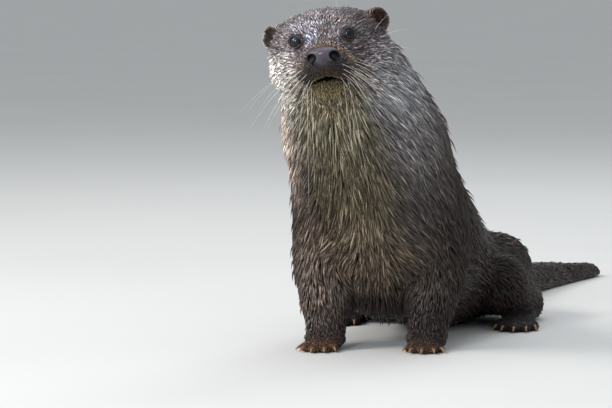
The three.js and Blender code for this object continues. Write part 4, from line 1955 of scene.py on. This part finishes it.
@dataclass(frozen=True)
class Leather:
    """Wet pebbled skin of the nose, with painted shade on its lower part and near-black painted shade in the
    nostrils.
    """

    pale: str = "#6a616f"
    dark: str = "#372d37"
    # painted shade: colour of the pad's lower part
    under: str = "#2a1f28"
    # painted shade: near black down in the nostrils
    inside: str = "#060505"
    lit_down_to: float = 277
    dark_down_to: float = 268

    def make(self) -> Material:
        """Builds the finish.

        Returns:
            The material.
        """
        bench = Bench("nose_leather")
        place = bench.place()
        pebble = bench.wire("ShaderNodeTexVoronoi", {}, {"Vector": place, "Scale": 0.85}, "Distance")
        blotch = bench.noise(place, 0.12, 3.0)
        colour = bench.mix(blotch * 1.1 - 0.1, tone(self.dark), tone(self.pale))
        colour = bench.scaled(colour, 1.1 - 0.5 * pebble)
        # painted shade: the pad darker from its upper part down to its lower part
        height = bench.vector("DOT_PRODUCT", place, tuple(Head().place().axes[:, 2]))
        low = bench.step(height, self.lit_down_to, self.dark_down_to)
        colour = bench.mix(low * 0.75, colour, tone(self.under))
        # painted shade: near black where points lie deep in the nostrils
        hollow = bench.step(bench.number("hollow"), 0.05, 0.5)
        colour = bench.mix(hollow, colour, tone(self.inside))
        normal = bench.bump(1 - pebble, 0.0005, 0.9)
        return bench.finish(
            {
                "Base Color": colour,
                "Roughness": 0.5 + 0.2 * pebble,
                "Specular IOR Level": 0.1,
                "Coat Weight": (1 - hollow) * (0.55 + 0.35 * blotch),
                "Coat Roughness": 0.28,
                "Normal": normal,
            }
        )


@dataclass(frozen=True)
class LidSkin:
    """Bare dark skin at the edge of the lids."""

    pale: str = "#3a2f2e"
    dark: str = "#161112"

    def make(self) -> Material:
        """Builds the finish.

        Returns:
            The material.
        """
        bench = Bench("lid_skin")
        grain = bench.noise(bench.place(), 1.3, 3.0)
        colour = bench.mix(grain, tone(self.dark), tone(self.pale))
        normal = bench.bump(grain, 0.0003, 0.5)
        return bench.finish({"Base Color": colour, "Roughness": 0.3 + 0.2 * grain, "Normal": normal})


@dataclass(frozen=True)
class WetEye:
    """Dark eye under a clear wet surface: near black, with a painted bluish reflection in its upper part, and
    a brown ring close to the lids.
    """

    pupil: str = "#050506"
    ring: str = "#1d1410"
    # painted reflection of the pale sky in the upper part of each eye
    painted_reflection: Patch = Patch((-1.6, -4.6, 2.2), (3.6, 4.0, 3.8), "#3d4a5e", 0.75, 0.15)
    ring_at: Span = (0.35, 0.75)

    def make(self) -> Material:
        """Builds the finish.

        Returns:
            The material.
        """
        bench = Bench("wet_eye")
        rim = bench.number("rim")
        grain = bench.noise(bench.place(), 1.6, 2.0)
        mask = bench.step(rim, *self.ring_at) * (0.5 + grain)
        colour = bench.mix(mask, tone(self.pupil), tone(self.ring))
        # painted reflection placed on each eyeball
        painted_reflections = [self.painted_reflection.moved(Head().eye(name).origin + self.painted_reflection.at) for name in SIDES]
        colour = Markings.cover(bench, colour, Markings.in_head(bench, bench.place()), painted_reflections)
        rough = 0.05 + 0.05 * grain
        return bench.finish({"Base Color": colour, "Roughness": rough, "Specular IOR Level": 0.35})


@dataclass(frozen=True)
class Horn:
    """Claws: rusty brown, darker at the root and worn pale at the tip."""

    root: str = "#3a281d"
    tip: str = "#9a7350"

    def make(self) -> Material:
        """Builds the finish.

        Returns:
            The material.
        """
        bench = Bench("claw_horn")
        grain = bench.noise(bench.place(), 0.8, 3.0)
        colour = bench.mix(bench.number("along") * 0.8 + 0.35 * grain, tone(self.root), tone(self.tip))
        normal = bench.bump(grain, 0.0002, 0.5)
        return bench.finish({"Base Color": colour, "Roughness": 0.3 + 0.25 * grain, "Normal": normal})


@dataclass(frozen=True)
class Bristle:
    """Whiskers: pale and glossy, darker at the root."""

    root: str = "#6b5d50"
    tip: str = "#e4ddd0"

    def make(self) -> Material:
        """Builds the finish.

        Returns:
            The material.
        """
        bench = Bench("whisker")
        along = bench.number("along")
        grain = bench.noise(bench.place(), 0.3, 2.0)
        colour = bench.mix(bench.step(along, 0.0, 0.25), tone(self.root), tone(self.tip))
        colour = bench.scaled(colour, 0.8 + 0.4 * grain)
        return bench.finish({"Base Color": colour, "Roughness": 0.3 + 0.1 * grain})


# ---------------- pieces


@dataclass
class Skin:
    """One closed skin in place of all the flesh of the model."""

    points: Array
    faces: Array
    claws: str = "claw"
    kept: tuple[str, ...] = ("eye", "nose")

    def build(self, finish: Material) -> Piece:
        """Makes the skin's piece and lets it stand for the flesh.

        Args:
            finish: Its finish.

        Returns:
            The piece.
        """
        points = np.maximum(self.points, (-BOUNDLESS, -BOUNDLESS, 0.0))
        piece = mount(build_mesh("skin", points, self.faces), "coat_body", finish)
        flesh = [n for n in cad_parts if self.claws not in n and not n.startswith(self.kept)]
        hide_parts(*flesh)
        return piece


@dataclass
class Nose:
    """Bare nose pad, broad and flat on top, with a nostril at each side and the groove between them."""

    head: Head
    step: float = 0.5
    margin: float = 2
    crown: Ball = Ball((0, -58.6, -3.8), (12.2, 7.4, 6.2))
    base: Ball = Ball((0, -58.2, -9.8), (8.0, 7.7, 7.2))
    wing: Ball = Ball((9.5, -57.6, -7.0), (4.7, 7.2, 6.6))
    blend: float = 3.5
    nostril: Cone = Cone((9.6, -68.4, -6.0), 3.0, (11.0, -58.0, -6.2), 2.4)
    slit: Cone = Cone((10.6, -67.6, -9.0), 2.0, (12.6, -59.0, -9.6), 1.2)
    groove: Cone = Cone((0, -67.6, -9), 0.7, (0, -64.5, -17), 1.0)
    cut_blend: float = 1.0
    shadow: float = 2.2

    def holes(self) -> Blend:
        """The nostrils' hollows, in the head's frame."""
        parts = [hole.on(side) for side in SIDES.values() for hole in (self.nostril, self.slit)]
        return Blend(tuple(parts), self.cut_blend)

    def solid(self) -> Blend:
        """The pad without its hollows, in the head's frame."""
        wings = [self.wing.on(side) for side in SIDES.values()]
        return Blend((self.crown, self.base, *wings), self.blend)

    def shape(self) -> Shape:
        """The pad in the head's frame."""
        return Carved(self.solid(), (self.holes(), self.groove), self.cut_blend)

    def build(self, finish: Material) -> Piece:
        """Makes the pad's piece in place of the model's nose.

        Args:
            finish: Its finish.

        Returns:
            The piece.
        """
        box = zip(*self.shape().box())
        axes = [np.arange(low - self.margin, high + self.margin, self.step) for low, high in box]
        points, faces = Lattice(self.shape(), axes).mesh()
        piece = build_mesh("nose_pad", self.head.place().outward(points), faces)
        # how deep in the nostrils each point is, which the finish paints as shade
        depth = self.holes().distance(points.astype(np.float32)) / self.shadow
        add_values(piece, "hollow", np.clip(1 - depth, 0, 1))
        mount(piece, "nose", finish)
        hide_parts("nose")
        return piece


@dataclass
class Eye:
    """Eyeball with a clear bulge in front."""

    name: str
    place: Frame
    radius: float = 6
    bulge: float = 0.45
    bulge_spread: float = 0.7
    rows: int = 28
    columns: int = 40

    def build(self, finish: Material) -> Piece:
        """Makes the eyeball's piece in place of the model's eye.

        Args:
            finish: Its finish.

        Returns:
            The piece.
        """
        tilt = np.linspace(0, math.pi, self.rows + 1)[1:-1]
        reach = self.radius + self.bulge * np.exp(-((tilt / self.bulge_spread) ** 2))
        ring = circle(np.array([[1.0, 0, 0]]), np.array([[0, 0, 1.0]]), self.columns)
        wide, deep = (reach * np.sin(tilt))[:, None, None], (reach * np.cos(tilt))[:, None, None]
        body = wide * ring - deep * (0, 1, 0)
        front, back = [[0, -self.radius - self.bulge, 0]], [[0, self.radius, 0]]
        points = self.place.outward(np.concatenate((front, body.reshape(-1, 3), back)))
        piece = build_mesh(f"eyeball_{self.name}", points, round_faces(len(tilt), self.columns)[:, ::-1])
        add_values(piece, "rim", np.concatenate(([0], np.repeat(np.sin(tilt), self.columns), [0])))
        mount(piece, "eye", finish)
        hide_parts(f"eye_{self.name}")
        return piece


@dataclass
class LidRim:
    """Bare wet edge of the lids round one eye, drawn out into a corner towards the nose."""

    name: str
    place: Frame
    reach: float = 6.75
    half_width: float = 5.3
    half_height: float = 5.4
    corner: float = 1.5
    corner_drop: float = 0.9
    corner_sharpness: int = 6
    farthest: float = 40
    thickness: float = 0.75
    columns: int = 56
    sides: int = 8

    def build(self, finish: Material) -> Piece:
        """Makes the rim's piece.

        Args:
            finish: Its finish.

        Returns:
            The piece.
        """
        turn = np.arange(self.columns) / self.columns * 2 * math.pi
        inner = np.maximum(np.cos(turn), 0) ** self.corner_sharpness
        across = self.half_width * np.cos(turn) + self.corner * inner
        high = self.half_height * np.sin(turn) - self.corner_drop * inner
        depth = np.sqrt(self.reach**2 - np.minimum(across**2 + high**2, self.farthest))
        middle = np.stack((-SIDES[self.name] * across, -depth, high), -1)
        outward = unit(middle)
        beside = unit(np.cross(np.roll(middle, -1, 0) - np.roll(middle, 1, 0), outward))
        points = (middle[:, None] + circle(outward, beside, self.sides) * self.thickness).reshape(-1, 3)
        low, flat = np.arange(self.columns)[:, None] * self.sides, np.arange(self.sides)
        after, beyond = np.roll(low, -1), np.roll(flat, -1)
        faces = np.stack((low + beyond, after + beyond, after + flat, low + flat), -1).reshape(-1, 4)
        piece = build_mesh(f"lid_rim_{self.name}", self.place.outward(points), faces)
        return mount(piece, "nose", finish)


@dataclass
class Claws:
    """The five curved claws of one paw."""

    name: str
    nodes: str
    toes: Sequence[Toe]
    radius: float = 1.8
    tip: float = 0.1
    taper: float = 1.3
    fullness: float = 0.75
    arch: float = 1.6
    rows: int = 9
    sides: int = 9

    def build(self, finish: Material) -> Piece:
        """Makes the claws' piece in place of the model's.

        Args:
            finish: Its finish.

        Returns:
            The piece.
        """
        share = np.linspace(0, 1, self.rows)
        arch = UP * (self.arch * np.sin(share * math.pi))[:, None]
        ends = [(np.array(toe.claw_start), np.array(toe.claw_end)) for toe in self.toes]
        paths = [start + (end - start) * share[:, None] + arch for start, end in ends]
        radii = self.radius * (1 - share[:-1] ** self.taper) ** self.fullness + self.tip
        piece = mount(build_tubes(self.name, paths, radii, self.sides), "claw", finish)
        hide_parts(*(f"{self.nodes}_{number + 1}" for number in range(len(self.toes))))
        return piece


@dataclass
class Whiskers:
    """Stiff whiskers in rows beside the muzzle, and single ones on the chin, the brows and the cheeks.

    The single ones have a root, a direction and a length each, and the right side has only the first few.
    """

    head: Head
    seed: int = 5
    rows: int = 4
    columns: int = 5
    root: Triple = (11, -56, -13)
    row_run: Triple = (11, 17, 2)
    row_drop: float = 3.6
    way: Triple = (0.75, -0.5, -0.15)
    way_turn: Triple = (0.3, 0.75, 0)
    way_drop: float = 0.2
    length: float = 68
    shares: Span = (0.6, 0.08)
    singles: tuple[tuple[Triple, Triple, float], ...] = (
        ((20, -30, 16), (0.35, -0.5, 0.9), 34),
        ((24, -27, 15), (0.6, -0.35, 0.8), 28),
        ((14, -50, -24), (0.12, -0.35, -1.0), 84),
        ((17, -46, -23), (0.22, -0.3, -1.0), 92),
        ((19, -43, -22), (0.4, -0.25, -1.0), 84),
        ((18, -27, 17), (0.05, -0.1, 1.0), 42),
        ((40, -10, 4), (0.6, -0.25, 0.9), 46),
        ((42, -6, 0), (0.85, -0.2, 0.65), 52),
        ((44, -4, -8), (0.98, -0.1, 0.2), 40),
    )
    singles_on_right: int = 5
    radius: float = 0.18
    taper: float = 0.82
    uneven: float = 0.1
    lengths: Span = (0.75, 1.1)
    sag: float = 0.45
    sags: Span = (0.6, 1.3)
    sweep: float = 0.12
    set_in: float = 2
    stations: int = 12
    sides: int = 5

    def _roots(self, side: int) -> list[tuple[Triple, Triple, float]]:
        """Lays out the whiskers of one side, in the head's frame.

        Args:
            side: The side.

        Returns:
            Root, direction and length of each.
        """
        least, fewer = self.shares
        made = []
        for row, column in product(range(self.rows), range(self.columns)):
            back = column / (self.columns - 1)
            root = np.add(self.root, np.multiply(self.row_run, back)) - UP * self.row_drop * row
            way = np.add(self.way, np.multiply(self.way_turn, back)) - UP * self.way_drop * row
            made.append((root, way, self.length * (least + (1 - least) * back) * (1 - fewer * row)))
        made += self.singles if side == LEFT else self.singles[: self.singles_on_right]
        return [(on_side(side, root), on_side(side, way), length) for root, way, length in made]

    def build(self, finish: Material) -> Piece:
        """Makes the whiskers' piece.

        Args:
            finish: Its finish.

        Returns:
            The piece.
        """
        rng = np.random.default_rng(self.seed)
        place = self.head.place()
        share = np.linspace(0, 1, self.stations)
        paths = []
        for root, way, length in (whisker for side in SIDES.values() for whisker in self._roots(side)):
            way = unit(way + rng.normal(0, self.uneven, 3))
            length = length * rng.uniform(*self.lengths)
            start = place.outward(root - way * self.set_in)
            drop = UP * self.sag * length * rng.uniform(*self.sags)
            path = start + place.axes @ way * (share * length)[:, None] - drop * (share**2)[:, None]
            path[:, 1] += self.sweep * length * share**2
            paths.append(path)
        radii = self.radius * (1 - self.taper * share[:-1])
        return mount(build_tubes("whiskers", paths, radii, self.sides), "coat_head", finish)


@dataclass(frozen=True)
class Lamp:
    """A square soft light: where it stands from the animal, its size and its power."""

    name: str
    way: Triple
    size: float
    power: float
    colour: Colour


@dataclass
class Studio:
    """Pale floor, soft lights and the camera."""

    target: Triple = (-0.068, -0.29254, 0.135)
    azimuth: float = 16
    elevation: float = 4.5
    distance: float = 2.8
    lens: float = 177.8
    sensor: float = 36
    floor_size: float = 400
    lamps: tuple[Lamp, ...] = (
        Lamp("key", (-2.1, 0.6, 1.9), 1.1, 60, (1.0, 0.98, 0.96)),
        Lamp("catch", (-0.9, 2.2, 1.1), 0.45, 26, (0.8, 0.9, 1.0)),
        Lamp("rim", (0.9, -1.7, 1.9), 1.2, 16, (0.9, 0.94, 1.0)),
        Lamp("top", (-0.3, -0.1, 2.5), 1.6, 14, (0.95, 0.98, 1.0)),
    )
    sky: Colour = (0.62, 0.66, 0.7)
    sky_strength: float = 0.85
    floor_dark: str = "#cbc9c5"
    floor_pale: str = "#d4d2ce"

    def _ways(self) -> tuple[Vector, Vector]:
        """Directions to the camera's right and back from the animal to the camera, on the level."""
        turn = math.radians(self.azimuth)
        return Vector((math.cos(turn), math.sin(turn), 0)), Vector((math.sin(turn), -math.cos(turn), 0))

    def build(self) -> None:
        """Makes the floor, the lights, the sky and the camera."""
        self._floor()
        for lamp in self.lamps:
            self._light(lamp)
        world = bpy.data.worlds.new("sky")
        world.use_nodes = True
        background = world.node_tree.nodes["Background"]
        background.inputs["Color"].default_value = (*self.sky, 1)
        background.inputs["Strength"].default_value = self.sky_strength
        bpy.context.scene.world = world
        bpy.context.scene.view_settings.view_transform = "Standard"
        self._camera()

    def _floor(self) -> None:
        """Makes the floor."""
        half = self.floor_size / 2
        corners = np.array([(-half, -half, 0), (half, -half, 0), (half, half, 0), (-half, half, 0)]) / MM
        floor = build_mesh("floor", corners - ORIGIN, np.array([[0, 1, 2, 3]]), False)
        bench = Bench("pale_floor")
        mottle = bench.noise(bench.place(), 0.002, 4.0)
        colour = bench.mix(mottle, tone(self.floor_dark), tone(self.floor_pale))
        floor.data.materials.append(bench.finish({"Base Color": colour, "Roughness": 0.75 + 0.1 * mottle}))

    def _place(self, piece: Piece, spot: Vector) -> None:
        """Stands a light or the camera at a spot, turned to the animal.

        Args:
            piece: What to stand there.
            spot: The spot.
        """
        bpy.context.scene.collection.objects.link(piece)
        piece.location = spot
        piece.rotation_euler = (Vector(self.target) - spot).to_track_quat("-Z", "Y").to_euler()

    def _light(self, lamp: Lamp) -> None:
        """Makes a light.

        Args:
            lamp: What it is like.
        """
        right, back = self._ways()
        data = bpy.data.lights.new(lamp.name, "AREA")
        data.size, data.energy, data.color = lamp.size, lamp.power, lamp.colour
        across, ahead, up = lamp.way
        spot = Vector(self.target) + right * across + back * ahead + Vector((0, 0, up))
        self._place(bpy.data.objects.new(lamp.name, data), spot)

    def _camera(self) -> None:
        """Makes the camera and gives it to the scene."""
        data = bpy.data.cameras.new("camera")
        data.lens, data.sensor_width = self.lens, self.sensor
        camera = bpy.data.objects.new("camera", data)
        rise = math.radians(self.elevation)
        sight = self._ways()[1] * math.cos(rise) + Vector((0, 0, math.sin(rise)))
        self._place(camera, Vector(self.target) + sight * self.distance)
        bpy.context.scene.camera = camera


# ---------------- the otter


def main() -> None:
    """Builds the otter and the studio, piece by piece."""
    logging.basicConfig(level=logging.INFO, format="%(message)s")
    form = Form()
    head = form.head
    Studio().build()
    lattice = form.lattice()
    points, faces = lattice.mesh()
    Skin(points, faces).build(Hide().make())
    eyes = {name: head.place().holding(head.eye(name)) for name in SIDES}
    wet_eye, lid_skin = WetEye().make(), LidSkin().make()
    for name, place in eyes.items():
        Eye(name, place).build(wet_eye)
        LidRim(name, place).build(lid_skin)
    nose = Nose(head)
    nose.build(Leather().make())
    horn = Horn().make()
    legs = form.legs()
    for side, end in product(SIDES, ("fore", "hind")):
        Claws(f"claws_{end}_{side}", f"{end}claw_{side}", legs[f"{end}_{side}"].toes()).build(horn)
    Whiskers(head).build(Bristle().make())
    balls = [Placed(sphere(head.hairless), place) for place in eyes.values()]
    bare = Blend((*balls, Placed(nose.solid(), head.place())))
    muzzle = head.place().outward(head.hair_source)
    centres = np.array([place.origin for place in eyes.values()])
    pelt = Pelt(lattice, tuple(form.lies()), muzzle, centres, bare)
    coat = Coat(pelt).grow(points, faces, WetHair().make())
    LOG.info("coat: %d faces in %d pieces", sum(len(p.data.polygons) for p in coat), len(coat))
    bpy.context.view_layer.update()


if __name__ == "__main__":
    main()
